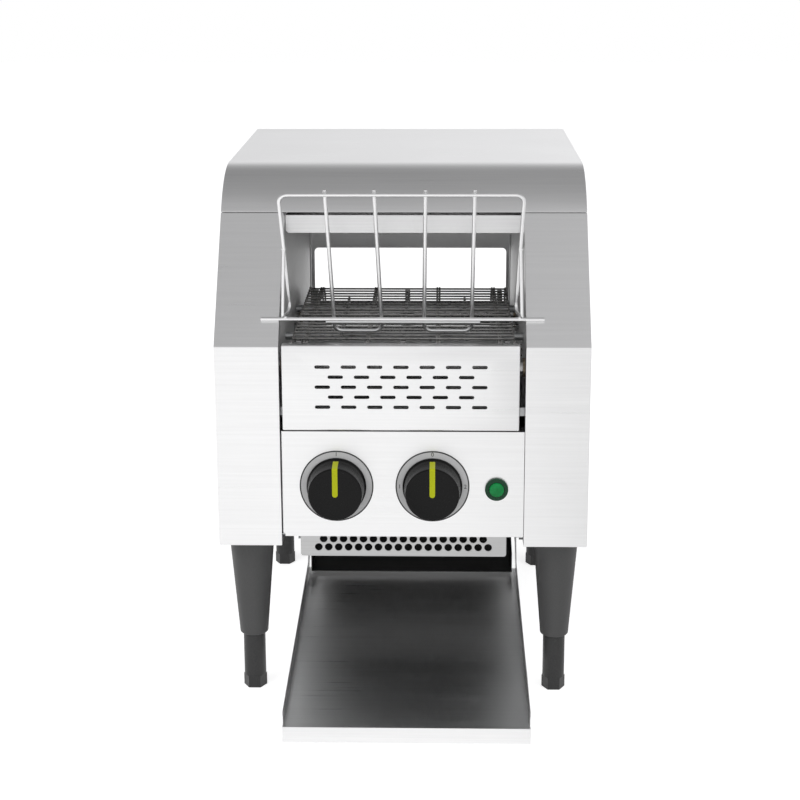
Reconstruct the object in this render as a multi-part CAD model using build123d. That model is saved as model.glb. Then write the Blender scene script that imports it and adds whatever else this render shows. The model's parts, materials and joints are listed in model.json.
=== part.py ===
from build123d import *
import os
from math import atan2, cos, degrees, hypot, pi, radians, sin

# Narrow one-slice conveyor toaster, in millimetres.
# The row frame: z = 0 is the table, +Y points to the back, and the origin is the middle of the footprint.
# Pieces are drawn in the housing's frame (y = 0 at its front plane, z = 0 at its underside, x = 0 in the
# middle) and moved to the row frame when they are written.

# ---- driving dimensions -------------------------------------------------------------------------

# housing
HOUSING_WIDTH = 288.0
HOUSING_DEPTH = 348.0
TOP_HEIGHT = 285.0
TOWER_WIDTH = 49.5
FOLD_HEIGHT = 160.5
SEAM_SETBACK = 66.0
LID_HEIGHT = 32.0
LID_EDGE = 2.26
SHEET = 1.0
INNER_SHEET = 0.8
FLANGE = 10.0
SEAM_GAP = 0.4
FIT_GAP = 0.3
CUT = 1.0
LEG_HEIGHT = 133.5
SEAM_HEIGHT = TOP_HEIGHT - LID_HEIGHT
HALF_WIDTH = HOUSING_WIDTH / 2
TOWER_INNER = HALF_WIDTH - TOWER_WIDTH
WALL_X = TOWER_INNER + SHEET
WALL_OUT = WALL_X + INNER_SHEET

# rear panel and its window
REAR_LAP = 12.5
REAR_MARGIN = 3.0
REAR_BOTTOM = REAR_MARGIN
REAR_TOP = SEAM_HEIGHT - REAR_MARGIN
WINDOW_MARGIN = 2.7
WINDOW_WIDTH = 2 * (TOWER_INNER - WINDOW_MARGIN)
WINDOW_BOTTOM = 118.0
WINDOW_TOP = 171.0
WINDOW_RADIUS = 4.0

# front panels
PANEL_LEFT_GAP = 0.5
PANEL_BEND = 2.2
PANEL_LEFT = PANEL_LEFT_GAP - TOWER_INNER
PANEL_BOTTOM = 8.0
PANEL_TOP = 93.7
PANEL_FLANGE = 14.0
GUARD_LEFT_GAP = 2.0
GUARD_RIGHT_GAP = 4.5
GUARD_LEFT = GUARD_LEFT_GAP - TOWER_INNER
GUARD_RIGHT = TOWER_INNER - GUARD_RIGHT_GAP
GUARD_TOP = 162.0
PANEL_JOINT = 0.6
SLOT_LENGTH = 11.9
SLOT_HEIGHT = 2.7
SLOT_PITCH = 20.1
SLOT_ROW_PITCH = 7.95
SLOT_ROWS = 5
SLOT_MARGIN = 30.95
SLOT_COLUMNS = round((GUARD_RIGHT - GUARD_LEFT - 2 * SLOT_MARGIN) / SLOT_PITCH) + 1
SLOT_CENTRE_X = -0.9
SLOT_CENTRE_Z = 129.1

# perforated air guard below the control box
STRIP_SETBACK = 24.0
STRIP_MARGIN = 12.5
STRIP_HALF_WIDTH = TOWER_INNER - STRIP_MARGIN
STRIP_BOTTOM = -17.5
STRIP_CHAMFER = 2.0
AIR_HOLE_D = 6.2
AIR_HOLE_PITCH = 7.95
AIR_ROW_PITCH = 6.9
AIR_HOLE_MARGIN = 14.425
AIR_HOLE_COLUMNS = round(2 * (STRIP_HALF_WIDTH - AIR_HOLE_MARGIN) / AIR_HOLE_PITCH) + 1
AIR_ROW_Z = -10.0
AIR_ROWS = 3

# control box and shields
BOX_FLOOR_Z = 9.0
BOX_DEPTH = 196.0
SHIELD_Z = 103.0
SHIELD_FRONT = 12.0
SHIELD_BACK = 208.0
BAFFLE_SETBACK = 76.0
BAFFLE_DROP = 17.9
BAFFLE_GAP = 3.5
BAFFLE_BOTTOM = SEAM_HEIGHT - BAFFLE_DROP
BAFFLE_TOP = SEAM_HEIGHT - BAFFLE_GAP
BAFFLE_BACK = 238.0
BAFFLE_HALF_WIDTH = TOWER_INNER - SHEET / 2

# conveyor
BELT_TOP = 160.0
BELT_FRONT = 10.0
BELT_MARGIN = 6.5
BELT_WIDTH = 2 * (TOWER_INNER - BELT_MARGIN)
BELT_WIRE = 1.6
CRIMP_WIRE = 1.4
BELT_PITCH = 10.2
RUN_PITCHES = 18
WHEEL_NOTCHES = 14
EDGE_CRIMP = 11.0
MIDDLE_CRIMP = 27.3
SHAFT_D = 10.0
WHEEL_INSET = 13.2
WHEEL_SPREAD = TOWER_INNER - WHEEL_INSET
WHEEL_THICK = 4.0
WHEEL_HUB_D = 18.0
WHEEL_HUB_LENGTH = 12.0
WHEEL_WINDOW_D = 6.5
WHEEL_WINDOWS = 5
NOTCH_R = 2.4
RUNNING_CLEARANCE = 0.03
BUSH_D = 15.0
BUSH_FLANGE_D = 20.0
BUSH_FLANGE = 2.0
BUSH_REACH = 2.0
RAIL_INSET = 31.3
RAIL_SPREAD = WHEEL_SPREAD - RAIL_INSET
RAIL_THICK = 2.0
RAIL_HEIGHT = 7.0
RAIL_FRONT = 60.0
RAIL_BACK = 188.0
CROSS_ROD_D = 6.0
CROSS_ROD_INSET = 14.0

# drive
CHAIN_PITCH = 6.35
CHAIN_ROLLER_D = 3.3
CHAIN_PLATE_HEIGHT = 5.0
CHAIN_PLATE = 0.7
CHAIN_WIDTH = 3.6
CHAIN_REACH = 6.3
CHAIN_X = WALL_OUT + CHAIN_REACH
SHAFT_TEETH = 18
MOTOR_TEETH = 12
CHAIN_RUN_PITCHES = 12
CHAIN_LINKS = 39
SPROCKET_THICK = 1.6
SPROCKET_NOTCH_D = 5.2
SPROCKET_HUB_D = 16.0
SPROCKET_HUB_LENGTH = 5.0
MOTOR_D = 60.0
MOTOR_LENGTH = 17.0
GEARBOX_LENGTH = 13.0
MOTOR_SHAFT_D = 7.0
MOTOR_BOSS_D = 14.0
MOTOR_EAR_SPREAD = 68.0
BRACKET_REACH = 10.9
BRACKET_X = WALL_OUT + BRACKET_REACH
BRACKET_SHEET = 1.5
BRACKET_HALF = 38.0

# heaters
TUBE_D = 10.0
TUBE_WALL = 1.0
FILAMENT_D = 3.0
CAP_D = 16.0
CAP_LENGTH = 13.0
CAP_SEAT = 8.0
TERMINAL_D = 3.0
TERMINAL_LENGTH = 8.0
UPPER_HEATER_DROP = 15.5
UPPER_HEATER_Z = SEAM_HEIGHT - UPPER_HEATER_DROP
UPPER_HEATER_Y = (115.0, 185.0)
LOWER_HEATER_Z = 136.0
LOWER_HEATER_Y = (90.0, 160.0)
LOWER_SHIELD_Z = 121.0
LOWER_SHIELD_RISE = 6.0

# controls
DIAL_Z = 49.6
SPEED_DIAL_SHARE = -0.5418
MODE_DIAL_SHARE = 0.24656
SPEED_DIAL_X = TOWER_INNER * SPEED_DIAL_SHARE
MODE_DIAL_X = TOWER_INNER * MODE_DIAL_SHARE
DIAL_R = 28.7
DIAL_PLATE = 0.5
KNOB_SKIRT_R = 23.2
KNOB_FACE_R = 20.4
KNOB_DEPTH = 21.0
KNOB_GAP = 0.5
KNOB_WALL = 2.5
KNOB_HUB_D = 13.0
KNOB_CAVITY = 8.0
KNOB_RIM = 1.0
KNOB_SKIRT = 1.6
KNOB_SKIRT_STEP = 1.2
KNOB_SKIRT_RISE = 3.4
KNOB_TAPER = 0.5
POINTER_WIDTH = 4.2
POINTER_PROUD = 0.3
POINTER_SINK = 0.9
POINTER_STOP = 5.5
SPINDLE_D = 6.0
STUB_D = 9.0
STUB_REACH = 5.0
STUB_NUT_D = 14.0
STUB_NUT = 2.0
POT_D = 24.0
POT_DEPTH = 13.0
SWITCH_SIZE = 30.0
SWITCH_DEPTH = 27.0
LAMP_SHARE = 0.7725
LAMP_X = TOWER_INNER * LAMP_SHARE
LAMP_Z = 47.5
LAMP_BEZEL_D = 18.0
LAMP_BEZEL = 2.2
LAMP_LENS_D = 11.5
LAMP_LENS = 3.0
LAMP_LENS_STEP = 0.4
LAMP_LENS_ROUND = 0.5
LAMP_LENS_CROWN = 0.1
LAMP_LENS_EDGE_SHARE = 0.86
LAMP_LENS_CROWN_SHARE = 0.5
LAMP_BODY_D = 11.0
LAMP_BODY = 24.0
LAMP_NUT_D = 16.0

# electrical parts in the control box
BOARD_SIZE = (76.0, 62.0)
BOARD_MARGIN = 10.5
BOARD_CORNER = (BOARD_MARGIN - TOWER_INNER, 62.0)
BOARD_THICK = 1.6
TRANSFORMER_PLACE = (12.0, 14.0)
TRANSFORMER_SIZE = (28.0, 28.0, 24.0)
RELAY_PLACE = (48.0, 12.0)
RELAY_SIZE = (16.0, 20.0, 16.0)
CAPACITOR_PLACE = (56.0, 45.0)
CAPACITOR_D = 12.0
CAPACITOR_HEIGHT = 18.0
STANDOFF_HEIGHT = 8.0
STANDOFF_D = 6.0
STANDOFF_INSET = 5.0
FAN_SIZE = 60.0
FAN_DEPTH = 25.0
FAN_BORE = 56.0
FAN_CENTRE = (44.0, 98.0)
FAN_BASE = 2.5
FAN_HUB_D = 22.0
FAN_BLADES = 7
FAN_BLADE_ANGLE = 40.0
FAN_BLADE_CHORD = 15.0
FAN_BLADE_THICK = 1.4
FAN_AXLE_D = 3.0
TERMINAL_BLOCK = (52.0, 22.0, 17.0)
TERMINAL_MARGIN = 24.5
TERMINAL_CORNER = (TERMINAL_MARGIN - TOWER_INNER, 150.0)
TERMINAL_WAYS = 4
TERMINAL_ROW_SHARES = (0.3, 0.7)

# toast path
CHUTE_SHIFT = 3.4
CHUTE_MARGIN = 4.5
CHUTE_HALF_WIDTH = TOWER_INNER - CHUTE_MARGIN
CHUTE_BACK_GAP = 4.0
CHUTE_BACK = HOUSING_DEPTH - CHUTE_BACK_GAP
CHUTE_TOP = 112.0
CHUTE_RADIUS = 110.0
CHUTE_TURN = 72.0
CHUTE_BEND_Z = 32.5
CHUTE_FRONT = 192.0
CHUTE_WALL_HEIGHT = 16.0
TRAY_REACH = 73.0
TRAY_SHIFT = 4.0
TRAY_HALF_WIDTH = TOWER_INNER
TRAY_FRONT_Z = -118.6
TRAY_SLOPE = 4.0
TRAY_LIP = 12.8
TRAY_WALL = 10.5
TRAY_BACK = 206.0
TRAY_ARM_SETBACK = 66.0
TRAY_ARM_BACK = HOUSING_DEPTH - TRAY_ARM_SETBACK
TRAY_ARM_Z = -69.0
TRAY_ARM_RISE = 14.0
TRAY_ARM_FLANGE = 8.0
TRAY_HEM = 2.6
HANGER_FRONT = 205.0
HANGER_SETBACK = 60.0
HANGER_BACK = HOUSING_DEPTH - HANGER_SETBACK
HANGER_LEDGE = 6.0
HANGER_SHEET = 1.2

# feed rack
RACK_WIRE = 3.0
RACK_REACH = 11.0
RACK_RISE = 26.5
RACK_TOP = (-RACK_REACH, SEAM_HEIGHT + RACK_RISE)
RACK_MARGIN = 3.5
RACK_HALF_WIDTH = TOWER_INNER - RACK_MARGIN
RACK_CORNER = 6.5
RACK_LAP = 2.6
RACK_BRACE_WIRE = 2.6
RACK_BRACE_CORNER = 4.0
RACK_BRACE_SHARE = 0.38
RACK_BRACE_REACH = 6.5
RACK_CROSS_LAP = 14.0
RACK_CROSS_HALF = TOWER_INNER + RACK_CROSS_LAP
RACK_CROSS_RISE = 19.5
RACK_CROSS_Z = FOLD_HEIGHT + RACK_CROSS_RISE
RACK_FOOT_INSET = 4.0
RACK_SIDE_FOOT_X = RACK_HALF_WIDTH - RACK_FOOT_INSET
GUIDE_SETBACK = 36.4
GUIDE_CLEAR = 3.6
GUIDE_BOTTOM = (GUIDE_SETBACK, BELT_TOP + GUIDE_CLEAR)
GUIDE_SPREAD_TOP = (-56.8, -20.2, 17.9, 54.3)
GUIDE_SPREAD_BOTTOM = (-53.4, -16.4, 16.4, 53.4)
GUIDE_TIP = 3.0
GUIDE_LAP = 2.6
GUIDE_CORNER = 6.0
GUIDE_TIE_SHARE = 0.92
GUIDE_TIE_HALF = 60.0

# legs and feet
LEG_INSET = 22.0
LEG_X = HALF_WIDTH - LEG_INSET
LEG_FRONT_Y = 34.3
LEG_SETBACK = 39.0
LEG_BACK_Y = HOUSING_DEPTH - LEG_SETBACK
LEG_TOP_D = 36.5
LEG_END_D = 22.6
LEG_LENGTH = 86.5
FOOT_D = 17.7
FOOT_HEX = 16.4
FOOT_HEX_HEIGHT = 10.0
FOOT_INSERT = 7.0
FOOT_TRAVEL = 18.0
FOOT_SLIDE_GAP = 0.3
STUD_D = 10.0
STUD_LENGTH = 42.0
STUD_GAP = 0.1
LEG_BOLT_D = 8.0
LEG_BOLT_DEPTH = 6.0
LEG_BOLT_HEAD = 13.0
LEG_BOLT_HEAD_HEIGHT = 5.3
BASE_PLATE = 1.2

# cable gland and screws
GLAND_INSET = 25.0
GLAND_X = HALF_WIDTH - GLAND_INSET
GLAND_Z = 26.0
GLAND_BORE = 8.0
GLAND_BODY_D = 13.0
GLAND_FLANGE_D = 20.0
GLAND_PROUD = 6.0
GLAND_INSIDE = 12.0
SCREW_D = 4.0
SCREW_HEAD_D = 7.6
SCREW_HEAD = 2.4

# ---- derived places -----------------------------------------------------------------------------

REAR_OUT = HOUSING_DEPTH + SHEET
OVERALL_DEPTH = TRAY_REACH + HOUSING_DEPTH + GLAND_PROUD
FRONT_Y = TRAY_REACH - OVERALL_DEPTH / 2

WHEEL_PITCH_R = BELT_PITCH / (2 * sin(pi / WHEEL_NOTCHES))
AXIS_Z = BELT_TOP - BELT_WIRE / 2 - WHEEL_PITCH_R
IDLER_Y = BELT_FRONT + BELT_WIRE / 2 + WHEEL_PITCH_R
DRIVE_Y = IDLER_Y + RUN_PITCHES * BELT_PITCH
WHEEL_R = WHEEL_PITCH_R - BELT_WIRE / 2 - FIT_GAP

SHAFT_CHAIN_R = CHAIN_PITCH / (2 * sin(pi / SHAFT_TEETH))
MOTOR_CHAIN_R = CHAIN_PITCH / (2 * sin(pi / MOTOR_TEETH))
CHAIN_RUN = CHAIN_RUN_PITCHES * CHAIN_PITCH
MOTOR_Y = DRIVE_Y
MOTOR_Z = AXIS_Z - hypot(CHAIN_RUN, SHAFT_CHAIN_R - MOTOR_CHAIN_R)

SLOPE = atan2(SEAM_HEIGHT - FOLD_HEIGHT, SEAM_SETBACK)
LID_BOTTOM = SEAM_HEIGHT + SEAM_GAP
LID_RADIUS = (TOP_HEIGHT - LID_BOTTOM - LID_EDGE) / (1 - cos(SLOPE))
LID_STRAIGHT = LID_EDGE / sin(SLOPE)
PANEL_RIGHT = TOWER_INNER - FIT_GAP
GUARD_BOTTOM = PANEL_TOP + PANEL_JOINT
TRAY_RAD = radians(TRAY_SLOPE)


# ---- helpers ------------------------------------------------------------------------------------

def block(x0, x1, y0, y1, z0, z1):
    """A box between two corners."""
    centre = ((x0 + x1) / 2, (y0 + y1) / 2, (z0 + z1) / 2)
    return Pos(*centre) * Box(abs(x1 - x0), abs(y1 - y0), abs(z1 - z0))


def rod(start, end, diameter):
    """A round bar between two points."""
    a = Vector(*start)
    b = Vector(*end)
    return extrude(Plane(origin=a, z_dir=b - a) * Circle(diameter / 2), amount=(b - a).length)


def rod_x(x0, x1, y, z, diameter):
    """A round bar along X."""
    return rod((x0, y, z), (x1, y, z), diameter)


def rod_y(x, y0, y1, z, diameter):
    """A round bar along Y."""
    return rod((x, y0, z), (x, y1, z), diameter)


def rod_z(x, y, z0, z1, diameter):
    """A round bar along Z."""
    return rod((x, y, z0), (x, y, z1), diameter)


def prism_x(points, x0, x1):
    """A prism along X over an outline of (y, z) points."""
    face = make_face(Polyline(*points, close=True))
    return extrude(Plane.YZ.offset(x0) * face, amount=x1 - x0)


def along_x(face, x0, x1):
    """A flat (y, z) face pushed along X."""
    return extrude(Plane.YZ.offset(x0) * face, amount=x1 - x0)


def hexagon(x, y, z0, z1, across_flats):
    """An upright hexagonal bar."""
    face = RegularPolygon(across_flats / 2, 6, major_radius=False)
    return extrude(Pos(x, y, z0) * face, amount=z1 - z0)


def wire(points, radii, diameter, closed=False):
    """A bent wire along straight runs with round corners."""
    path = FilletPolyline(*points, radius=radii, close=closed)
    start = Plane(origin=path @ 0, z_dir=path % 0)
    return sweep(start * Circle(diameter / 2), path=path)


def mirrored(shape):
    """The same piece on the other side of x = 0."""
    return mirror(shape, about=Plane.YZ)


def fuse(first, *others):
    """One solid from pieces that touch."""
    result = first
    for other in others:
        result = result + other
    return result


def save(name, *pieces):
    """Writes one sub-part in the row frame."""
    solids = []
    for piece in pieces:
        solids.extend(piece.solids())
    home = Location((0, FRONT_Y, LEG_HEIGHT))
    placed = [solid.moved(home) for solid in solids]
    shape = placed[0] if len(placed) == 1 else Compound(children=placed)
    os.makedirs("parts", exist_ok=True)
    export_step(shape, f"parts/{name}.step")


# ---- housing ------------------------------------------------------------------------------------

def side_outline():
    """The tower's side view: upright front, sloping upper front, flat top, upright back."""
    return make_face(Polyline(
        (0, 0),
        (HOUSING_DEPTH, 0),
        (HOUSING_DEPTH, SEAM_HEIGHT),
        (SEAM_SETBACK, SEAM_HEIGHT),
        (0, FOLD_HEIGHT),
        close=True,
    ))


def inset(face, amount):
    """The same outline, smaller all round, with sharp corners."""
    return offset(face, amount=-amount, kind=Kind.INTERSECTION)


def side_housing():
    """The right tower's folded shell, open to the chamber, with return flanges all round."""
    outline = side_outline()
    shell = along_x(outline, TOWER_INNER, HALF_WIDTH)
    shell -= along_x(inset(outline, SHEET), WALL_X, HALF_WIDTH - SHEET)
    shell -= along_x(inset(outline, FLANGE), TOWER_INNER - SHEET, WALL_X + SHEET)
    x0 = TOWER_INNER + FLANGE
    x1 = HALF_WIDTH - FLANGE
    y1 = HOUSING_DEPTH - FLANGE
    shell -= block(x0, x1, FLANGE, y1, -SHEET, 2 * SHEET)
    shell -= block(x0, x1, SEAM_SETBACK + FLANGE, y1, SEAM_HEIGHT - 2 * SHEET, SEAM_HEIGHT + SHEET)
    return shell


def inner_wall():
    """The right chamber wall, behind the tower's flange, with the bush and heater holes."""
    outline = inset(side_outline(), SHEET + FIT_GAP)
    wall = along_x(outline, WALL_X, WALL_OUT)
    x0 = WALL_X - SHEET
    x1 = WALL_OUT + SHEET
    for y in (IDLER_Y, DRIVE_Y):
        wall -= rod_x(x0, x1, y, AXIS_Z, BUSH_D)
    for y, z in heater_places():
        wall -= rod_x(x0, x1, y, z, TUBE_D + 2 * FIT_GAP)
    for y in cross_rod_places():
        wall -= rod_x(x0, x1, y, cross_rod_z(), CROSS_ROD_D)
    return wall


def lid_outline():
    """The top cover's side view, from its front hem up a round shoulder to the flat top."""
    shoulder_y = SEAM_SETBACK + LID_STRAIGHT * cos(SLOPE)
    shoulder_z = LID_BOTTOM + LID_STRAIGHT * sin(SLOPE)
    flat_y = shoulder_y + LID_RADIUS * sin(SLOPE)
    middle = SLOPE / 2
    middle_point = (flat_y - LID_RADIUS * sin(middle), TOP_HEIGHT - LID_RADIUS * (1 - cos(middle)))
    edges = [
        Line((SEAM_SETBACK, LID_BOTTOM), (shoulder_y, shoulder_z)),
        ThreePointArc((shoulder_y, shoulder_z), middle_point, (flat_y, TOP_HEIGHT)),
        Line((flat_y, TOP_HEIGHT), (HOUSING_DEPTH, TOP_HEIGHT)),
        Line((HOUSING_DEPTH, TOP_HEIGHT), (HOUSING_DEPTH, LID_BOTTOM)),
        Line((HOUSING_DEPTH, LID_BOTTOM), (SEAM_SETBACK, LID_BOTTOM)),
    ]
    return make_face(edges)


def top_cover():
    """The pressed lid with side skirts, a back skirt and a hem under its front edge."""
    outline = lid_outline()
    cover = along_x(outline, -HALF_WIDTH, HALF_WIDTH)
    inside = HALF_WIDTH - SHEET
    cover -= along_x(inset(outline, SHEET), -inside, inside)
    hem_end = SEAM_SETBACK + FLANGE
    floor_top = LID_BOTTOM + 2 * SHEET
    cover -= block(-inside, inside, hem_end, HOUSING_DEPTH - SHEET, LID_BOTTOM - SHEET, floor_top)
    return cover


def rear_panel():
    """The outer back sheet, screwed over the towers, with the window over the belt."""
    half = TOWER_INNER + REAR_LAP
    panel = block(-half, half, HOUSING_DEPTH, REAR_OUT, REAR_BOTTOM, REAR_TOP)
    window = Rectangle(WINDOW_WIDTH, WINDOW_TOP - WINDOW_BOTTOM)
    window = fillet(window.vertices(), WINDOW_RADIUS)
    middle = (WINDOW_TOP + WINDOW_BOTTOM) / 2
    cutter = Plane(origin=(0, REAR_OUT + SHEET, middle), x_dir=(-1, 0, 0), z_dir=(0, 1, 0)) * window
    panel -= extrude(cutter, amount=-3 * SHEET)
    for x, z in rear_screw_places():
        panel -= rod_y(x, HOUSING_DEPTH - SHEET, REAR_OUT + SHEET, z, SCREW_D)
    return panel


def rear_screw_places():
    """Three screws up each side of the back panel."""
    x = TOWER_INNER + REAR_LAP / 2
    inset_z = 3 * SCREW_D
    rows = (REAR_BOTTOM + inset_z, (REAR_BOTTOM + REAR_TOP) / 2, REAR_TOP - inset_z)
    return [(side * x, z) for side in (-1, 1) for z in rows]


def slot_places():
    """Centres of the staggered slots: rows of seven and of six in turn."""
    places = []
    for row in range(SLOT_ROWS):
        count = SLOT_COLUMNS - row % 2
        z = SLOT_CENTRE_Z + (row - (SLOT_ROWS - 1) / 2) * SLOT_ROW_PITCH
        for column in range(count):
            x = SLOT_CENTRE_X + (column - (count - 1) / 2) * SLOT_PITCH
            places.append((x, z))
    return places


def slotted_guard():
    """The louvred sheet in front of the belt, folded back at its top, bottom and sides."""
    guard = block(GUARD_LEFT, GUARD_RIGHT, 0, SHEET, GUARD_BOTTOM, GUARD_TOP)
    depth = BELT_FRONT - 2 * SHEET
    guard += block(GUARD_LEFT, GUARD_RIGHT, 0, depth, GUARD_TOP - SHEET, GUARD_TOP)
    guard += block(GUARD_LEFT, GUARD_RIGHT, 0, depth, GUARD_BOTTOM, GUARD_BOTTOM + SHEET)
    guard += block(GUARD_LEFT, GUARD_LEFT + SHEET, 0, depth, GUARD_BOTTOM, GUARD_TOP)
    guard += block(GUARD_RIGHT - SHEET, GUARD_RIGHT, 0, depth, GUARD_BOTTOM, GUARD_TOP)
    straight = SLOT_LENGTH - SLOT_HEIGHT
    for x, z in slot_places():
        guard -= block(
            x - straight / 2, x + straight / 2,
            -SHEET, 2 * SHEET,
            z - SLOT_HEIGHT / 2, z + SLOT_HEIGHT / 2,
        )
        for end in (-straight / 2, straight / 2):
            guard -= rod_y(x + end, -SHEET, 2 * SHEET, z, SLOT_HEIGHT)
    return guard


def control_panel():
    """The front panel of the control box, with its folded edges and its three holes."""
    face_left = PANEL_LEFT + PANEL_BEND
    panel = block(face_left, PANEL_RIGHT, 0, SHEET, PANEL_BOTTOM, PANEL_TOP)
    panel += block(face_left, PANEL_RIGHT, 0, PANEL_FLANGE, PANEL_TOP - SHEET, PANEL_TOP)
    panel += block(face_left, PANEL_RIGHT, 0, PANEL_FLANGE, PANEL_BOTTOM, BOX_FLOOR_Z)
    low = BOX_FLOOR_Z + SHEET + FIT_GAP
    bend = rod_z(face_left, PANEL_BEND, low, PANEL_TOP, 2 * PANEL_BEND)
    bend -= rod_z(face_left, PANEL_BEND, low - CUT, PANEL_TOP + CUT, 2 * (PANEL_BEND - SHEET))
    panel += bend & block(PANEL_LEFT, face_left, 0, PANEL_BEND, low, PANEL_TOP)
    panel += block(PANEL_LEFT, PANEL_LEFT + SHEET, PANEL_BEND, PANEL_FLANGE, low, PANEL_TOP)
    for x in (SPEED_DIAL_X, MODE_DIAL_X):
        panel -= rod_y(x, -SHEET, 2 * SHEET, DIAL_Z, STUB_D)
    panel -= rod_y(LAMP_X, -SHEET, 2 * SHEET, LAMP_Z, LAMP_BODY_D)
    return panel


def air_hole_places():
    """Centres of the staggered round holes in the air guard."""
    places = []
    for row in range(AIR_ROWS):
        count = AIR_HOLE_COLUMNS - row % 2
        z = AIR_ROW_Z + row * AIR_ROW_PITCH
        for column in range(count):
            places.append(((column - (count - 1) / 2) * AIR_HOLE_PITCH, z))
    return places


def perforated_guard():
    """The hanging strip of round holes that lets air into the control box."""
    back = STRIP_SETBACK + SHEET
    guard = block(-STRIP_HALF_WIDTH, STRIP_HALF_WIDTH, STRIP_SETBACK, back, STRIP_BOTTOM, BOX_FLOOR_Z)
    bottom = guard.edges().filter_by(Axis.Y).group_by(Axis.Z)[0]
    guard = chamfer(bottom, STRIP_CHAMFER)
    for x, z in air_hole_places():
        guard -= rod_y(x, STRIP_SETBACK - SHEET, back + SHEET, z, AIR_HOLE_D)
    guard += block(
        -STRIP_HALF_WIDTH, STRIP_HALF_WIDTH,
        STRIP_SETBACK, back + PANEL_FLANGE,
        BOX_FLOOR_Z - SHEET, BOX_FLOOR_Z,
    )
    return guard


def base_plate():
    """The right tower's floor, which the legs bolt to."""
    edge = SHEET + FIT_GAP
    plate = block(
        WALL_OUT + FIT_GAP, HALF_WIDTH - edge,
        edge, HOUSING_DEPTH - edge,
        SHEET, SHEET + BASE_PLATE,
    )
    for y in (LEG_FRONT_Y, LEG_BACK_Y):
        plate -= rod_z(LEG_X, y, 0, 2 * SHEET + BASE_PLATE, LEG_BOLT_D)
    return plate


def control_box():
    """The folded tray that closes the control box below and behind, with the fan's air hole."""
    half = TOWER_INNER - FIT_GAP / 3
    floor = block(-half, half, SHEET, BOX_DEPTH, BOX_FLOOR_Z, BOX_FLOOR_Z + SHEET)
    back = block(-half, half, BOX_DEPTH - SHEET, BOX_DEPTH, BOX_FLOOR_Z, SHIELD_Z)
    x, y = FAN_CENTRE
    box = floor + back
    box -= rod_z(x, y, BOX_FLOOR_Z - SHEET, BOX_FLOOR_Z + 2 * SHEET, FAN_BORE)
    return box


def heat_shield():
    """The plate that keeps the chamber's heat and crumbs off the control box."""
    half = WALL_X - FIT_GAP / 3
    top = SHIELD_Z + INNER_SHEET
    shield = block(-half, half, SHIELD_FRONT, SHIELD_BACK, SHIELD_Z, top)
    shield += block(-half, half, SHIELD_FRONT, SHIELD_FRONT + INNER_SHEET, SHIELD_Z, top + LOWER_SHIELD_RISE)
    return shield


def upper_reflector():
    """The bright sheet over the upper heaters, whose front edge hangs as a baffle under the lid."""
    back = BAFFLE_SETBACK + INNER_SHEET
    half = BAFFLE_HALF_WIDTH
    sheet = block(-half, half, BAFFLE_SETBACK, back, BAFFLE_BOTTOM, BAFFLE_TOP)
    sheet += block(-half, half, BAFFLE_SETBACK, BAFFLE_BACK, BAFFLE_TOP - INNER_SHEET, BAFFLE_TOP)
    sheet += block(-half, half, BAFFLE_BACK - INNER_SHEET, BAFFLE_BACK, BAFFLE_BOTTOM, BAFFLE_TOP)
    corners = sheet.edges().filter_by(Axis.Y).group_by(Axis.Z)[0]
    sheet = chamfer(corners, STRIP_CHAMFER)
    for y in UPPER_HEATER_Y:
        reach = 2 * CAP_D
        sheet += block(
            -TOWER_INNER, TOWER_INNER, y + CAP_D, y + reach, BAFFLE_TOP - INNER_SHEET, BAFFLE_TOP,
        )
    return sheet


def lower_reflector():
    """The trough between the belt's two runs that throws the lower heaters' heat upwards."""
    half = WALL_X - FIT_GAP / 3
    front = RAIL_FRONT + CROSS_ROD_D
    back = RAIL_BACK - RAIL_THICK
    top = LOWER_SHIELD_Z + INNER_SHEET
    rise = top + LOWER_SHIELD_RISE
    trough = block(-half, half, front, back, LOWER_SHIELD_Z, top)
    trough += block(-half, half, front, front + INNER_SHEET, LOWER_SHIELD_Z, rise)
    trough += block(-half, half, back - INNER_SHEET, back, LOWER_SHIELD_Z, rise)
    return trough


# ---- conveyor -----------------------------------------------------------------------------------

def belt_stations():
    """The (y, z) centre of each cross wire, once round the belt, evenly spaced by chords."""
    stations = []
    for step in range(RUN_PITCHES):
        stations.append((IDLER_Y + step * BELT_PITCH, AXIS_Z + WHEEL_PITCH_R))
    turn = 2 * pi / WHEEL_NOTCHES
    wraps = WHEEL_NOTCHES // 2
    for step in range(wraps):
        angle = pi / 2 - step * turn
        stations.append((DRIVE_Y + WHEEL_PITCH_R * cos(angle), AXIS_Z + WHEEL_PITCH_R * sin(angle)))
    for step in range(RUN_PITCHES):
        stations.append((DRIVE_Y - step * BELT_PITCH, AXIS_Z - WHEEL_PITCH_R))
    for step in range(wraps):
        angle = -pi / 2 - step * turn
        stations.append((IDLER_Y + WHEEL_PITCH_R * cos(angle), AXIS_Z + WHEEL_PITCH_R * sin(angle)))
    return stations


def belt_link():
    """One cross wire along X at the origin, with its crimped legs reaching back to the next wire."""
    edge = BELT_WIDTH / 2 - BELT_WIRE
    link = rod_x(-BELT_WIDTH / 2, BELT_WIDTH / 2, 0, 0, BELT_WIRE)
    reach = BELT_PITCH - BELT_WIRE / 2 - FIT_GAP
    for x in (edge, edge - EDGE_CRIMP, MIDDLE_CRIMP):
        for side in (-1, 1):
            link += rod((side * x, 0, 0), (side * x, reach, 0), CRIMP_WIRE)
    return link


def conveyor_belt():
    """The endless wire belt, link by link."""
    link = belt_link()
    stations = belt_stations()
    links = []
    for index, (y, z) in enumerate(stations):
        next_y, next_z = stations[(index + 1) % len(stations)]
        turn = degrees(atan2(next_z - z, next_y - y))
        links.append(link.moved(Location((0, y, z), (turn, 0, 0))))
    return links


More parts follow.
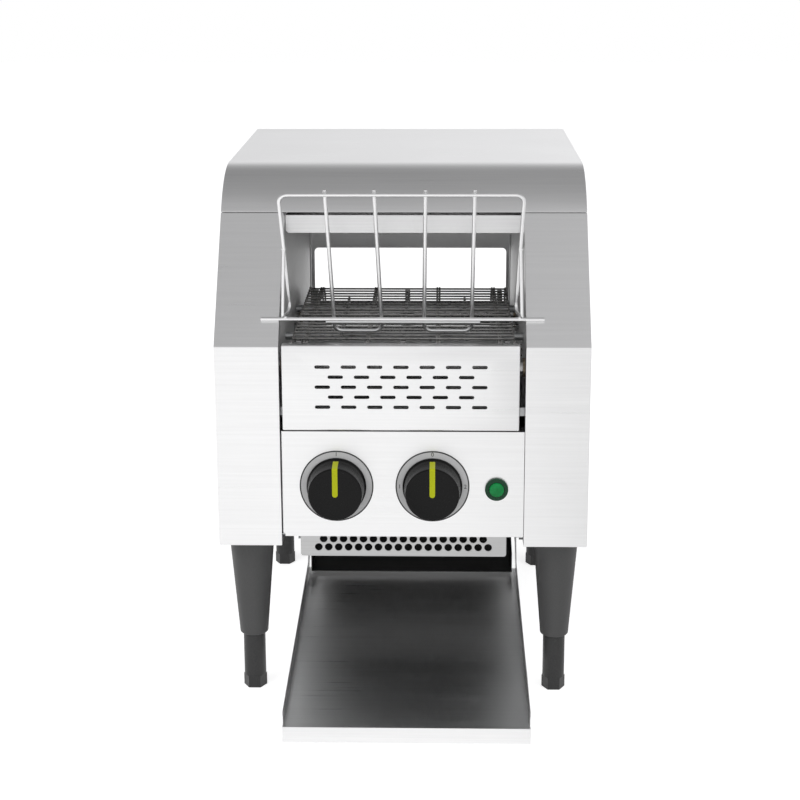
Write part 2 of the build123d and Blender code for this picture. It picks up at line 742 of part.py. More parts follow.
def belt_wheel(x, y):
    """A notched disc with a hub. Its teeth stop just short of the belt's wires."""
    half = WHEEL_THICK / 2
    wheel = rod_x(x - half, x + half, y, AXIS_Z, 2 * WHEEL_R)
    wheel += rod_x(x - WHEEL_HUB_LENGTH / 2, x + WHEEL_HUB_LENGTH / 2, y, AXIS_Z, WHEEL_HUB_D)
    for step in range(WHEEL_NOTCHES):
        angle = 2 * pi * step / WHEEL_NOTCHES
        notch_y = y + WHEEL_PITCH_R * cos(angle)
        notch_z = AXIS_Z + WHEEL_PITCH_R * sin(angle)
        wheel -= rod_x(x - half, x + half, notch_y, notch_z, 2 * NOTCH_R)
    middle = (WHEEL_HUB_D / 2 + WHEEL_R - NOTCH_R / 2) / 2
    for step in range(WHEEL_WINDOWS):
        angle = 2 * pi * step / WHEEL_WINDOWS
        window_y = y + middle * cos(angle)
        window_z = AXIS_Z + middle * sin(angle)
        wheel -= rod_x(x - half, x + half, window_y, window_z, WHEEL_WINDOW_D)
    return wheel - rod_x(x - WHEEL_HUB_LENGTH, x + WHEEL_HUB_LENGTH, y, AXIS_Z, SHAFT_D)


def belt_wheels(y):
    """Three wheels on one shaft."""
    return [belt_wheel(x, y) for x in (-WHEEL_SPREAD, 0, WHEEL_SPREAD)]


def cross_rod_places():
    """Where the two rods that carry the belt's rails lie, front to back."""
    return (RAIL_FRONT + CROSS_ROD_INSET, RAIL_BACK - CROSS_ROD_INSET)


def cross_rod_z():
    """Height of those rods: their tops stand inside the rails' lower edge."""
    return BELT_TOP - BELT_WIRE - FIT_GAP - RAIL_HEIGHT


def belt_support():
    """Three rails under the upper run, welded to two rods that sit in the chamber walls."""
    top = BELT_TOP - BELT_WIRE - FIT_GAP
    rods = [rod_x(-WALL_OUT, WALL_OUT, y, cross_rod_z(), CROSS_ROD_D) for y in cross_rod_places()]
    rails = []
    for x in (-RAIL_SPREAD, 0, RAIL_SPREAD):
        rails.append(block(
            x - RAIL_THICK / 2, x + RAIL_THICK / 2, RAIL_FRONT, RAIL_BACK, top - RAIL_HEIGHT, top,
        ))
    return fuse(*rods, *rails)


def shaft_bush(side, y):
    """A flanged plain bearing in a chamber wall."""
    inner = side * (WALL_X - BUSH_REACH)
    outer = side * (WALL_OUT + BUSH_FLANGE)
    bush = rod_x(inner, outer, y, AXIS_Z, BUSH_D)
    bush += rod_x(side * WALL_OUT, outer, y, AXIS_Z, BUSH_FLANGE_D)
    bore = SHAFT_D + 2 * RUNNING_CLEARANCE
    return bush - rod_x(inner - side * CUT, outer + side * CUT, y, AXIS_Z, bore)


# ---- drive --------------------------------------------------------------------------------------

def chain_path():
    """The chain's pitch line round the two sprockets."""
    lean = atan2(SHAFT_CHAIN_R - MOTOR_CHAIN_R, CHAIN_RUN)
    small = Vector(cos(lean), -sin(lean)) * MOTOR_CHAIN_R
    large = Vector(cos(lean), -sin(lean)) * SHAFT_CHAIN_R
    motor = Vector(MOTOR_Y, MOTOR_Z)
    shaft = Vector(DRIVE_Y, AXIS_Z)
    flip = Vector(-2 * small.X, 0)
    flop = Vector(-2 * large.X, 0)
    front = Line(motor + small, shaft + large)
    back = Line(shaft + large + flop, motor + small + flip)
    over = ThreePointArc(front @ 1, shaft + Vector(0, SHAFT_CHAIN_R), back @ 0)
    under = ThreePointArc(back @ 1, motor - Vector(0, MOTOR_CHAIN_R), front @ 0)
    return Wire([front, over, back, under])


def chain_stations():
    """The (y, z) centre of each roller, evenly spaced along the pitch line."""
    path = chain_path()
    return [path @ (step / CHAIN_LINKS) for step in range(CHAIN_LINKS)]


def drive_chain():
    """The roller chain: rollers and their two rows of side plates."""
    stations = chain_stations()
    half = CHAIN_WIDTH / 2
    chain = None
    for index, station in enumerate(stations):
        next_station = stations[(index + 1) % len(stations)]
        run = next_station - station
        turn = degrees(atan2(run.Y, run.X))
        plate = SlotCenterToCenter(run.length, CHAIN_PLATE_HEIGHT)
        middle = station + run * 0.5
        lay = Location((middle.X, middle.Y), turn)
        for side in (-1, 1):
            x = CHAIN_X + side * (half - CHAIN_PLATE / 2) - CHAIN_PLATE / 2
            piece = along_x(lay * plate, x, x + CHAIN_PLATE)
            chain = piece if chain is None else chain + piece
        chain += rod_x(CHAIN_X - half, CHAIN_X + half, station.X, station.Y, CHAIN_ROLLER_D)
    return chain


def sprocket(y, z, teeth, pitch_r, bore):
    """A chain sprocket whose teeth stop just inside the rollers."""
    tip_r = pitch_r - CHAIN_ROLLER_D / 2 - FIT_GAP
    half = SPROCKET_THICK / 2
    x0 = CHAIN_X - half
    x1 = CHAIN_X + half
    wheel = rod_x(x0, x1, y, z, 2 * tip_r)
    for step in range(teeth):
        angle = 2 * pi * step / teeth
        notch_y = y + pitch_r * cos(angle)
        notch_z = z + pitch_r * sin(angle)
        wheel -= rod_x(x0, x1, notch_y, notch_z, SPROCKET_NOTCH_D)
    hub_d = min(SPROCKET_HUB_D, 2 * tip_r - CHAIN_PLATE_HEIGHT)
    wheel += rod_x(CHAIN_X - SPROCKET_HUB_LENGTH / 2, x1, y, z, hub_d)
    return wheel - rod_x(CHAIN_X - SPROCKET_HUB_LENGTH, CHAIN_X + SPROCKET_HUB_LENGTH, y, z, bore)


def motor_bracket():
    """The plate that carries the gear motor, on four spacers from the chamber wall."""
    plate = block(
        BRACKET_X, BRACKET_X + BRACKET_SHEET,
        MOTOR_Y - BRACKET_HALF, MOTOR_Y + BRACKET_HALF,
        MOTOR_Z - BRACKET_HALF, MOTOR_Z + BRACKET_HALF,
    )
    x0 = BRACKET_X - CUT
    x1 = BRACKET_X + BRACKET_SHEET + CUT
    plate -= rod_x(x0, x1, MOTOR_Y, MOTOR_Z, MOTOR_BOSS_D + 2 * FIT_GAP)
    reach = BRACKET_HALF - STANDOFF_INSET
    for dy in (-reach, reach):
        for dz in (-reach, reach):
            plate += rod_x(WALL_OUT, BRACKET_X, MOTOR_Y + dy, MOTOR_Z + dz, STANDOFF_D)
    return plate


def gearbox():
    """The motor's gearbox, face to face with the bracket, with its boss and two ears."""
    x0 = BRACKET_X + BRACKET_SHEET
    x1 = x0 + GEARBOX_LENGTH
    case = rod_x(x0, x1, MOTOR_Y, MOTOR_Z, MOTOR_D)
    ear = MOTOR_EAR_SPREAD / 2
    for side in (-1, 1):
        y = MOTOR_Y + side * ear
        case += rod_x(x0, x0 + BRACKET_SHEET, y, MOTOR_Z, 2 * STANDOFF_D)
        case += block(
            x0, x0 + BRACKET_SHEET,
            min(MOTOR_Y, y), max(MOTOR_Y, y),
            MOTOR_Z - STANDOFF_D, MOTOR_Z + STANDOFF_D,
        )
        case -= rod_x(x0 - CUT, x0 + BRACKET_SHEET + CUT, y, MOTOR_Z, SCREW_D)
    case += rod_x(BRACKET_X, x0, MOTOR_Y, MOTOR_Z, MOTOR_BOSS_D)
    bore = MOTOR_SHAFT_D + 2 * RUNNING_CLEARANCE
    return case - rod_x(BRACKET_X - CUT, x0 + GEARBOX_LENGTH / 2, MOTOR_Y, MOTOR_Z, bore)


def motor_can():
    """The synchronous motor behind the gearbox, with its terminal strip."""
    x0 = BRACKET_X + BRACKET_SHEET + GEARBOX_LENGTH
    can = rod_x(x0, x0 + MOTOR_LENGTH, MOTOR_Y, MOTOR_Z, MOTOR_D - 4 * SHEET)
    top = MOTOR_Z + MOTOR_D / 2 + 2 * SHEET
    can += block(x0, x0 + MOTOR_LENGTH / 2, MOTOR_Y - FLANGE, MOTOR_Y + FLANGE, MOTOR_Z, top)
    return can


def motor_shaft():
    """The gearbox's output shaft."""
    x1 = BRACKET_X + BRACKET_SHEET + GEARBOX_LENGTH / 2 - FIT_GAP
    return rod_x(CHAIN_X - SPROCKET_HUB_LENGTH / 2, x1, MOTOR_Y, MOTOR_Z, MOTOR_SHAFT_D)


# ---- heaters ------------------------------------------------------------------------------------

def heater_places():
    """The (y, z) of each quartz heater."""
    upper = [(y, UPPER_HEATER_Z) for y in UPPER_HEATER_Y]
    lower = [(y, LOWER_HEATER_Z) for y in LOWER_HEATER_Y]
    return upper + lower


def heater_tube(y, z):
    """A quartz tube across the chamber, its ends inside the caps."""
    half = WALL_OUT + CAP_SEAT
    tube = rod_x(-half, half, y, z, TUBE_D)
    return tube - rod_x(-half - CUT, half + CUT, y, z, TUBE_D - 2 * TUBE_WALL)


def heater_filament(y, z):
    """The heating coil's outer shape, from cap to cap."""
    half = WALL_OUT + CAP_SEAT
    return rod_x(-half, half, y, z, FILAMENT_D)


def heater_cap(side, y, z):
    """A ceramic end cap outside the chamber wall, with its terminal pin."""
    inner = side * WALL_OUT
    outer = side * (WALL_OUT + CAP_LENGTH)
    cap = rod_x(inner, outer, y, z, CAP_D)
    cap -= rod_x(side * (WALL_OUT - CUT), side * (WALL_OUT + CAP_SEAT), y, z, TUBE_D)
    return cap + rod_x(outer, outer + side * TERMINAL_LENGTH, y, z, TERMINAL_D)


# ---- controls -----------------------------------------------------------------------------------

def turned_y(points, x, z, front_y=0.0):
    """A solid turned about an axis along Y, from an outline of (radius, depth in front of the panel)."""
    plane = Plane(origin=(x, front_y, z), x_dir=(1, 0, 0), z_dir=(0, 0, 1))
    outline = plane * make_face(Polyline(*[(r, -d) for r, d in points], close=True))
    return revolve(outline, axis=Axis((x, front_y, z), (0, 1, 0)))


def knob_outline(grow):
    """The knob's side profile from the panel outwards, grown by an amount all round its face."""
    back = DIAL_PLATE + KNOB_GAP
    face = back + KNOB_DEPTH
    return [
        (0, back),
        (KNOB_SKIRT_R + grow, back),
        (KNOB_SKIRT_R + grow, back + KNOB_SKIRT),
        (KNOB_SKIRT_R - KNOB_SKIRT_STEP + grow, back + KNOB_SKIRT_RISE),
        (KNOB_FACE_R + KNOB_TAPER + grow, face - 3 * KNOB_RIM),
        (KNOB_FACE_R + grow, face - KNOB_RIM + grow / 2),
        (KNOB_FACE_R - KNOB_RIM + grow / 2, face + grow),
        (0, face + grow),
    ]


def pointer_slab(x):
    """The upright bar, round at its lower end, that the pointer is cut from."""
    face = DIAL_PLATE + KNOB_GAP + KNOB_DEPTH
    back = DIAL_PLATE + KNOB_GAP + POINTER_STOP
    half = POINTER_WIDTH / 2
    front = -face - CUT
    slab = block(x - half, x + half, front, -back, DIAL_Z, DIAL_Z + KNOB_SKIRT_R + CUT)
    return slab + rod_y(x, front, -back, DIAL_Z, POINTER_WIDTH)


def pointer(x):
    """The bright bar let into the knob's face and down its side."""
    skin = turned_y(knob_outline(POINTER_PROUD), x, DIAL_Z)
    skin -= turned_y(knob_outline(-POINTER_SINK), x, DIAL_Z)
    return skin & pointer_slab(x)


def knob(x):
    """A black control knob, hollow behind, with a hub for the spindle."""
    body = turned_y(knob_outline(0), x, DIAL_Z)
    back = -(DIAL_PLATE + KNOB_GAP)
    cavity = rod_y(x, back + CUT, back - KNOB_CAVITY, DIAL_Z, 2 * (KNOB_FACE_R - KNOB_WALL))
    body -= cavity - rod_y(x, back - STUB_REACH - FIT_GAP, back - KNOB_CAVITY, DIAL_Z, KNOB_HUB_D)
    body -= turned_y(knob_outline(POINTER_PROUD), x, DIAL_Z).intersect(pointer_slab(x)) - turned_y(
        knob_outline(-POINTER_SINK), x, DIAL_Z
    )
    return body - rod_y(x, back + CUT, back - KNOB_DEPTH + KNOB_WALL, DIAL_Z, SPINDLE_D)


def spindle(x):
    """The turning spindle between the knob and the control behind the panel."""
    front = -(DIAL_PLATE + KNOB_GAP + KNOB_DEPTH - KNOB_WALL)
    return rod_y(x, front, SHEET + POT_DEPTH / 2, DIAL_Z, SPINDLE_D)


def dial_plate(x):
    """The flat round scale under a knob."""
    plate = rod_y(x, -DIAL_PLATE, 0, DIAL_Z, 2 * DIAL_R)
    return plate - rod_y(x, -DIAL_PLATE - CUT, CUT, DIAL_Z, STUB_D)


def control_stub(x, body):
    """A panel control: its body behind the sheet, threaded stub through it and nut in front."""
    stub = rod_y(x, -DIAL_PLATE - STUB_REACH, SHEET, DIAL_Z, STUB_D)
    nut = rod_y(x, -DIAL_PLATE - STUB_NUT, -DIAL_PLATE, DIAL_Z, STUB_NUT_D)
    whole = fuse(body, stub, nut)
    bore = SPINDLE_D + 2 * RUNNING_CLEARANCE
    front = -DIAL_PLATE - KNOB_GAP - STUB_REACH
    return whole - rod_y(x, front - CUT, SHEET + POT_DEPTH / 2 + FIT_GAP, DIAL_Z, bore)


def speed_potentiometer():
    """The round speed control."""
    x = SPEED_DIAL_X
    return control_stub(x, rod_y(x, SHEET, SHEET + POT_DEPTH, DIAL_Z, POT_D))


def mode_switch():
    """The square rotary switch that picks the heaters."""
    half = SWITCH_SIZE / 2
    x = MODE_DIAL_X
    body = block(x - half, x + half, SHEET, SHEET + SWITCH_DEPTH, DIAL_Z - half, DIAL_Z + half)
    return control_stub(x, body)


def pilot_bezel():
    """The lamp's dark green collar, body and nut."""
    bezel = rod_y(LAMP_X, -LAMP_BEZEL, 0, LAMP_Z, LAMP_BEZEL_D)
    bezel += rod_y(LAMP_X, 0, LAMP_BODY, LAMP_Z, LAMP_BODY_D)
    bezel += rod_y(LAMP_X, SHEET, SHEET + 2 * STUB_NUT, LAMP_Z, LAMP_NUT_D)
    return bezel - rod_y(LAMP_X, -LAMP_BEZEL - CUT, -LAMP_BEZEL / 2, LAMP_Z, LAMP_LENS_D)


def pilot_lens():
    """The domed green lens."""
    seat = LAMP_BEZEL / 2
    radius = LAMP_LENS_D / 2
    front = seat + LAMP_LENS
    points = [
        (0, seat),
        (radius, seat),
        (radius, LAMP_BEZEL + LAMP_LENS_STEP),
        (radius * LAMP_LENS_EDGE_SHARE, front - LAMP_LENS_ROUND),
        (radius * LAMP_LENS_CROWN_SHARE, front - LAMP_LENS_CROWN),
        (0, front),
    ]
    return turned_y(points, LAMP_X, LAMP_Z)


# ---- electrical parts ---------------------------------------------------------------------------

def board_corners():
    """Where the board's four spacers stand."""
    x0, y0 = BOARD_CORNER
    width, depth = BOARD_SIZE
    xs = (x0 + STANDOFF_INSET, x0 + width - STANDOFF_INSET)
    ys = (y0 + STANDOFF_INSET, y0 + depth - STANDOFF_INSET)
    return [(x, y) for x in xs for y in ys]


def control_board():
    """The speed control's circuit board."""
    x0, y0 = BOARD_CORNER
    width, depth = BOARD_SIZE
    z = BOX_FLOOR_Z + SHEET + STANDOFF_HEIGHT
    return block(x0, x0 + width, y0, y0 + depth, z, z + BOARD_THICK)


def board_standoffs():
    """The spacers under the board."""
    z0 = BOX_FLOOR_Z + SHEET
    return [rod_z(x, y, z0, z0 + STANDOFF_HEIGHT, STANDOFF_D) for x, y in board_corners()]


def board_components():
    """The relay, transformer and capacitor on the board."""
    x0, y0 = BOARD_CORNER
    z = BOX_FLOOR_Z + SHEET + STANDOFF_HEIGHT + BOARD_THICK
    boxes = []
    for (dx, dy), (width, depth, height) in (
        (TRANSFORMER_PLACE, TRANSFORMER_SIZE), (RELAY_PLACE, RELAY_SIZE),
    ):
        x = x0 + dx
        y = y0 + dy
        boxes.append(block(x, x + width, y, y + depth, z, z + height))
    dx, dy = CAPACITOR_PLACE
    return boxes + [rod_z(x0 + dx, y0 + dy, z, z + CAPACITOR_HEIGHT, CAPACITOR_D)]


def fan_frame():
    """The cooling fan's square frame, its motor base on four struts and its axle."""
    x, y = FAN_CENTRE
    z0 = BOX_FLOOR_Z + SHEET
    half = FAN_SIZE / 2
    frame = block(x - half, x + half, y - half, y + half, z0, z0 + FAN_DEPTH)
    frame -= rod_z(x, y, z0 - CUT, z0 + FAN_DEPTH + CUT, FAN_BORE)
    frame += rod_z(x, y, z0, z0 + FAN_BASE, FAN_HUB_D)
    for turn in (0, 90):
        strut = Box(FAN_BORE + 2 * SHEET, 2 * FAN_BASE, FAN_BASE)
        frame += Pos(x, y, z0 + FAN_BASE / 2) * Rot(0, 0, turn) * strut
    axle_top = z0 + FAN_DEPTH - 2 * FAN_BASE - FIT_GAP
    return frame + rod_z(x, y, z0, axle_top, FAN_AXLE_D)


def fan_rotor():
    """The fan's hub and its twisted blades."""
    x, y = FAN_CENTRE
    z0 = BOX_FLOOR_Z + SHEET + FAN_BASE + FIT_GAP
    z1 = BOX_FLOOR_Z + SHEET + FAN_DEPTH - FAN_BASE
    rotor = rod_z(x, y, z0, z1, FAN_HUB_D)
    inner = FAN_HUB_D / 2 - FAN_BLADE_THICK
    outer = FAN_BORE / 2 - 2 * SHEET
    middle = (z0 + z1) / 2
    slab = Box(outer - inner, FAN_BLADE_CHORD, FAN_BLADE_THICK)
    for step in range(FAN_BLADES):
        blade = Pos((inner + outer) / 2, 0, 0) * Rot(FAN_BLADE_ANGLE, 0, 0) * slab
        rotor += Pos(x, y, middle) * Rot(0, 0, 360 * step / FAN_BLADES) * blade
    return rotor - rod_z(x, y, z0 - CUT, z1 - FAN_BASE, FAN_AXLE_D + 2 * RUNNING_CLEARANCE)


def terminal_block():
    """The mains terminal block with its screw wells."""
    x0, y0 = TERMINAL_CORNER
    width, depth, height = TERMINAL_BLOCK
    z0 = BOX_FLOOR_Z + SHEET
    blk = block(x0, x0 + width, y0, y0 + depth, z0, z0 + height)
    pitch = width / TERMINAL_WAYS
    for way in range(TERMINAL_WAYS):
        for row in TERMINAL_ROW_SHARES:
            x = x0 + way * pitch + pitch / 2
            blk -= rod_z(x, y0 + row * depth, z0 + height / 2, z0 + height + CUT, pitch / 2)
    return blk


# ---- toast path ---------------------------------------------------------------------------------

def chute_outline(lift):
    """The chute's run from its top edge at the back, round the bend, to its front lip."""
    turn = radians(CHUTE_TURN)
    radius = CHUTE_RADIUS - lift
    centre_y = CHUTE_BACK - CHUTE_RADIUS
    half = turn / 2
    bend_end = (centre_y + radius * cos(turn), CHUTE_BEND_Z - radius * sin(turn))
    bend_middle = (centre_y + radius * cos(half), CHUTE_BEND_Z - radius * sin(half))
    run = (bend_end[0] - CHUTE_FRONT) / sin(turn)
    lip = (CHUTE_FRONT, bend_end[1] - run * cos(turn))
    return (CHUTE_BACK - lift, CHUTE_TOP), (CHUTE_BACK - lift, CHUTE_BEND_Z), bend_middle, bend_end, lip


def chute_face(inner, outer):
    """The area between two offsets of the chute's run."""
    a_top, a_bend, a_middle, a_end, a_lip = chute_outline(inner)
    b_top, b_bend, b_middle, b_end, b_lip = chute_outline(outer)
    return make_face([
        Line(a_top, a_bend),
        ThreePointArc(a_bend, a_middle, a_end),
        Line(a_end, a_lip),
        Line(a_lip, b_lip),
        Line(b_lip, b_end),
        ThreePointArc(b_end, b_middle, b_bend),
        Line(b_bend, b_top),
        Line(b_top, a_top),
    ])


def discharge_chute():
    """The bent slide that carries toast from behind the belt down to the tray at the front."""
    left = CHUTE_SHIFT - CHUTE_HALF_WIDTH
    right = CHUTE_SHIFT + CHUTE_HALF_WIDTH
    chute = along_x(chute_face(-INNER_SHEET, 0), left - INNER_SHEET, right + INNER_SHEET)
    side = chute_face(-INNER_SHEET, CHUTE_WALL_HEIGHT)
    chute += along_x(side, left - INNER_SHEET, left)
    chute += along_x(side, right, right + INNER_SHEET)
    chute += block(left, right, CHUTE_BACK, HOUSING_DEPTH, CHUTE_TOP - INNER_SHEET, CHUTE_TOP)
    return chute


def tray_z(y):
    """Height of the tray's floor at a depth."""
    return TRAY_FRONT_Z + (y + TRAY_REACH) * sin(TRAY_RAD) / cos(TRAY_RAD)


def discharge_tray():
    """The sloping catch tray: floor, front lip, side walls and the arms that hang it."""
    t = INNER_SHEET
    left = TRAY_SHIFT - TRAY_HALF_WIDTH
    right = TRAY_SHIFT + TRAY_HALF_WIDTH
    front = -TRAY_REACH
    floor = [
        (front, tray_z(front)), (TRAY_BACK, tray_z(TRAY_BACK)),
        (TRAY_BACK, tray_z(TRAY_BACK) - t), (front, tray_z(front) - t),
    ]
    tray = prism_x(floor, left, right)
    tray += block(left, right, front, front + t, tray_z(front) - TRAY_LIP, tray_z(front))
    wall_front = front + TRAY_HEM
    arm_start = TRAY_BACK - TRAY_ARM_RISE
    side = [
        (wall_front, tray_z(wall_front) - t),
        (wall_front, tray_z(wall_front) + TRAY_WALL - TRAY_HEM),
        (wall_front + TRAY_HEM, tray_z(wall_front) + TRAY_WALL),
        (arm_start, tray_z(arm_start) + TRAY_WALL),
        (TRAY_BACK, TRAY_ARM_Z),
        (TRAY_ARM_BACK, TRAY_ARM_Z),
        (TRAY_ARM_BACK, TRAY_ARM_Z - TRAY_WALL),
        (TRAY_BACK + TRAY_ARM_RISE, TRAY_ARM_Z - TRAY_WALL),
        (TRAY_BACK, tray_z(TRAY_BACK) - t),
    ]
    tray += prism_x(side, left, left + t)
    tray += prism_x(side, right - t, right)
    for x0, x1 in ((left - TRAY_ARM_FLANGE, left + t), (right - t, right + TRAY_ARM_FLANGE)):
        tray += block(x0, x1, TRAY_BACK, TRAY_ARM_BACK, TRAY_ARM_Z - t, TRAY_ARM_Z)
    return tray


def tray_hanger(side):
    """The angle under one tower whose ledge carries the tray's arm."""
    x = TRAY_SHIFT + side * (TRAY_HALF_WIDTH + TRAY_ARM_FLANGE + FIT_GAP)
    ledge = TRAY_ARM_Z - INNER_SHEET - FIT_GAP
    outer = x + side * HANGER_SHEET
    inner = x - side * HANGER_LEDGE
    hanger = block(min(x, outer), max(x, outer), HANGER_FRONT, HANGER_BACK, ledge - HANGER_SHEET, 0)
    hanger += block(
        min(inner, outer), max(inner, outer), HANGER_FRONT, HANGER_BACK, ledge - HANGER_SHEET, ledge,
    )
    foot = x - side * FLANGE
    hanger += block(min(outer, foot), max(outer, foot), HANGER_FRONT, HANGER_BACK, -HANGER_SHEET, 0)
    return hanger


# ---- feed rack ----------------------------------------------------------------------------------

def guide_point(x, share, lap=0.0):
    """A point on the leaning guide plane, from the top bar (0) to the lower bend (1)."""
    run_y = GUIDE_BOTTOM[0] - RACK_TOP[0]
    run_z = GUIDE_BOTTOM[1] - RACK_TOP[1]
    length = hypot(run_y, run_z)
    y = RACK_TOP[0] + run_y * share - lap * run_z / length
    z = RACK_TOP[1] + run_z * share + lap * run_y / length
    return (x, y, z)


def rack_frame():
    """The main wire: the top bar, both leaning sides and the two feet that lie on the cross bar."""
    front_y, foot_z = rack_foot()
    share = (RACK_TOP[1] - foot_z) / (RACK_TOP[1] - GUIDE_BOTTOM[1])
    corners = []
    for side in (-1, 1):
        corners.append([
            (side * RACK_HALF_WIDTH, front_y + RACK_BRACE_CORNER, foot_z),
            guide_point(side * RACK_SIDE_FOOT_X, share),
            (side * RACK_HALF_WIDTH, *RACK_TOP),
        ])
    left, right = corners
    return wire(left + right[::-1], RACK_CORNER, RACK_WIRE)


def rack_brace(side):
    """A thinner wire from the end of a foot up to the leaning side above it."""
    front_y, foot_z = rack_foot()
    inset = RACK_FOOT_INSET * RACK_BRACE_SHARE
    top = guide_point(side * (RACK_HALF_WIDTH - inset), RACK_BRACE_SHARE)
    corner = (side * RACK_HALF_WIDTH, front_y, foot_z)
    end = (side * RACK_HALF_WIDTH, front_y + RACK_BRACE_CORNER + RACK_WIRE, foot_z)
    return wire([top, corner, end], RACK_BRACE_CORNER, RACK_BRACE_WIRE)


def rack_guide(first):
    """One U-shaped bread guide, welded behind the top bar, its tips standing above it."""
    tops = GUIDE_SPREAD_TOP
    bottoms = GUIDE_SPREAD_BOTTOM
    lift = GUIDE_TIP / (RACK_TOP[1] - GUIDE_BOTTOM[1])
    run = [
        guide_point(tops[first], -lift, GUIDE_LAP),
        guide_point(bottoms[first], 1, GUIDE_LAP),
        guide_point(bottoms[first + 1], 1, GUIDE_LAP),
        guide_point(tops[first + 1], -lift, GUIDE_LAP),
    ]
    return wire(run, GUIDE_CORNER, RACK_WIRE)


def feed_rack():
    """The wire rack that leads bread on to the belt, hung by its cross bar on the sloping fronts."""
    tie_left = guide_point(-GUIDE_TIE_HALF, GUIDE_TIE_SHARE)
    tie_right = guide_point(GUIDE_TIE_HALF, GUIDE_TIE_SHARE)
    tie = rod(tie_left, tie_right, RACK_WIRE)
    cross = rod_x(-RACK_CROSS_HALF, RACK_CROSS_HALF, rack_cross_y(), RACK_CROSS_Z, RACK_WIRE)
    guides = [rack_guide(0), rack_guide(2)]
    braces = [rack_brace(-1), rack_brace(1)]
    return fuse(rack_frame(), cross, *braces, *guides, tie)


def rack_foot():
    """The (y, z) of the front end of the feet, which lie welded on the cross bar."""
    return rack_cross_y() - RACK_BRACE_REACH, RACK_CROSS_Z + RACK_LAP


def rack_cross_y():
    """Depth of the cross bar when it lies on the towers' sloping fronts."""
    on_slope = (RACK_CROSS_Z - FOLD_HEIGHT) * cos(SLOPE) / sin(SLOPE)
    return on_slope - (RACK_WIRE / 2 + FIT_GAP) / sin(SLOPE)


# ---- legs, feet and small parts -----------------------------------------------------------------

def leg_places():
    """Centres of the four legs."""
    return [(side * LEG_X, y) for y in (LEG_FRONT_Y, LEG_BACK_Y) for side in (-1, 1)]


def leg(x, y):
    """A tapered plastic leg, bored below for its foot and above for its bolt."""
    taper = loft([
        Pos(x, y, 0) * Circle(LEG_TOP_D / 2),
        Pos(x, y, -LEG_LENGTH) * Circle(LEG_END_D / 2),
    ])
    bore_top = -LEG_LENGTH + FOOT_INSERT + FOOT_TRAVEL + 2 * SHEET
    taper -= rod_z(x, y, -LEG_LENGTH - CUT, bore_top, FOOT_D + 2 * FOOT_SLIDE_GAP)
    stud_top = -LEG_LENGTH + FOOT_INSERT + STUD_LENGTH + FOOT_TRAVEL + FIT_GAP
    taper -= rod_z(x, y, bore_top - CUT, stud_top, STUD_D + 2 * STUD_GAP)
    return taper - rod_z(x, y, -LEG_BOLT_DEPTH, CUT, LEG_BOLT_D)


def foot(x, y):
    """A levelling foot: hexagonal end, round body and threaded stud."""
    hex_top = -LEG_HEIGHT + FOOT_HEX_HEIGHT
    body_top = -LEG_LENGTH + FOOT_INSERT
    shape = hexagon(x, y, -LEG_HEIGHT, hex_top, FOOT_HEX)
    shape += rod_z(x, y, hex_top, body_top, FOOT_D)
    return shape + rod_z(x, y, body_top, body_top + STUD_LENGTH, STUD_D)


def leg_bolt(x, y):
    """The hexagon bolt that holds a leg to its base plate."""
    seat = SHEET + BASE_PLATE
    head = hexagon(x, y, seat, seat + LEG_BOLT_HEAD_HEIGHT, LEG_BOLT_HEAD)
    return head + rod_z(x, y, -LEG_BOLT_DEPTH, seat, LEG_BOLT_D)


def rear_screw(x, z):
    """A pan-head screw in the back panel."""
    points = [
        (0, 0), (SCREW_HEAD_D / 2, 0), (SCREW_HEAD_D / 2, -SCREW_HEAD / 2),
        (SCREW_HEAD_D / 3, -SCREW_HEAD), (0, -SCREW_HEAD),
    ]
    head = turned_y(points, x, z, front_y=REAR_OUT)
    shank = rod_y(x, REAR_OUT - SHEET, REAR_OUT, z, SCREW_D)
    return head + shank


def motor_screw(side):
    """One of the two screws through the gearbox's ears."""
    y = MOTOR_Y + side * MOTOR_EAR_SPREAD / 2
    seat = BRACKET_X + 2 * BRACKET_SHEET
    head = rod_x(seat, seat + SCREW_HEAD, y, MOTOR_Z, SCREW_HEAD_D)
    return head + rod_x(BRACKET_X + BRACKET_SHEET, seat, y, MOTOR_Z, SCREW_D)


def cable_gland():
    """The bushing where the mains cord would enter, through the right tower's back."""
    points = [
        (0, 0), (GLAND_FLANGE_D / 2, 0), (GLAND_FLANGE_D / 2, -GLAND_PROUD / 3),
        (GLAND_BODY_D / 2, -GLAND_PROUD), (0, -GLAND_PROUD),
    ]
    gland = turned_y(points, GLAND_X, GLAND_Z, front_y=HOUSING_DEPTH)
    back = HOUSING_DEPTH - GLAND_INSIDE
    gland += rod_y(GLAND_X, back, HOUSING_DEPTH, GLAND_Z, GLAND_BODY_D)
    front = HOUSING_DEPTH + GLAND_PROUD + CUT
    return gland - rod_y(GLAND_X, back - CUT, front, GLAND_Z, GLAND_BORE)


def right_side_housing():
    """The right tower's shell, with the hole for the cable gland."""
    hole = rod_y(GLAND_X, HOUSING_DEPTH - 2 * SHEET, HOUSING_DEPTH + SHEET, GLAND_Z, GLAND_BODY_D)
    return side_housing() - hole


# ---- the assembly -------------------------------------------------------------------------------

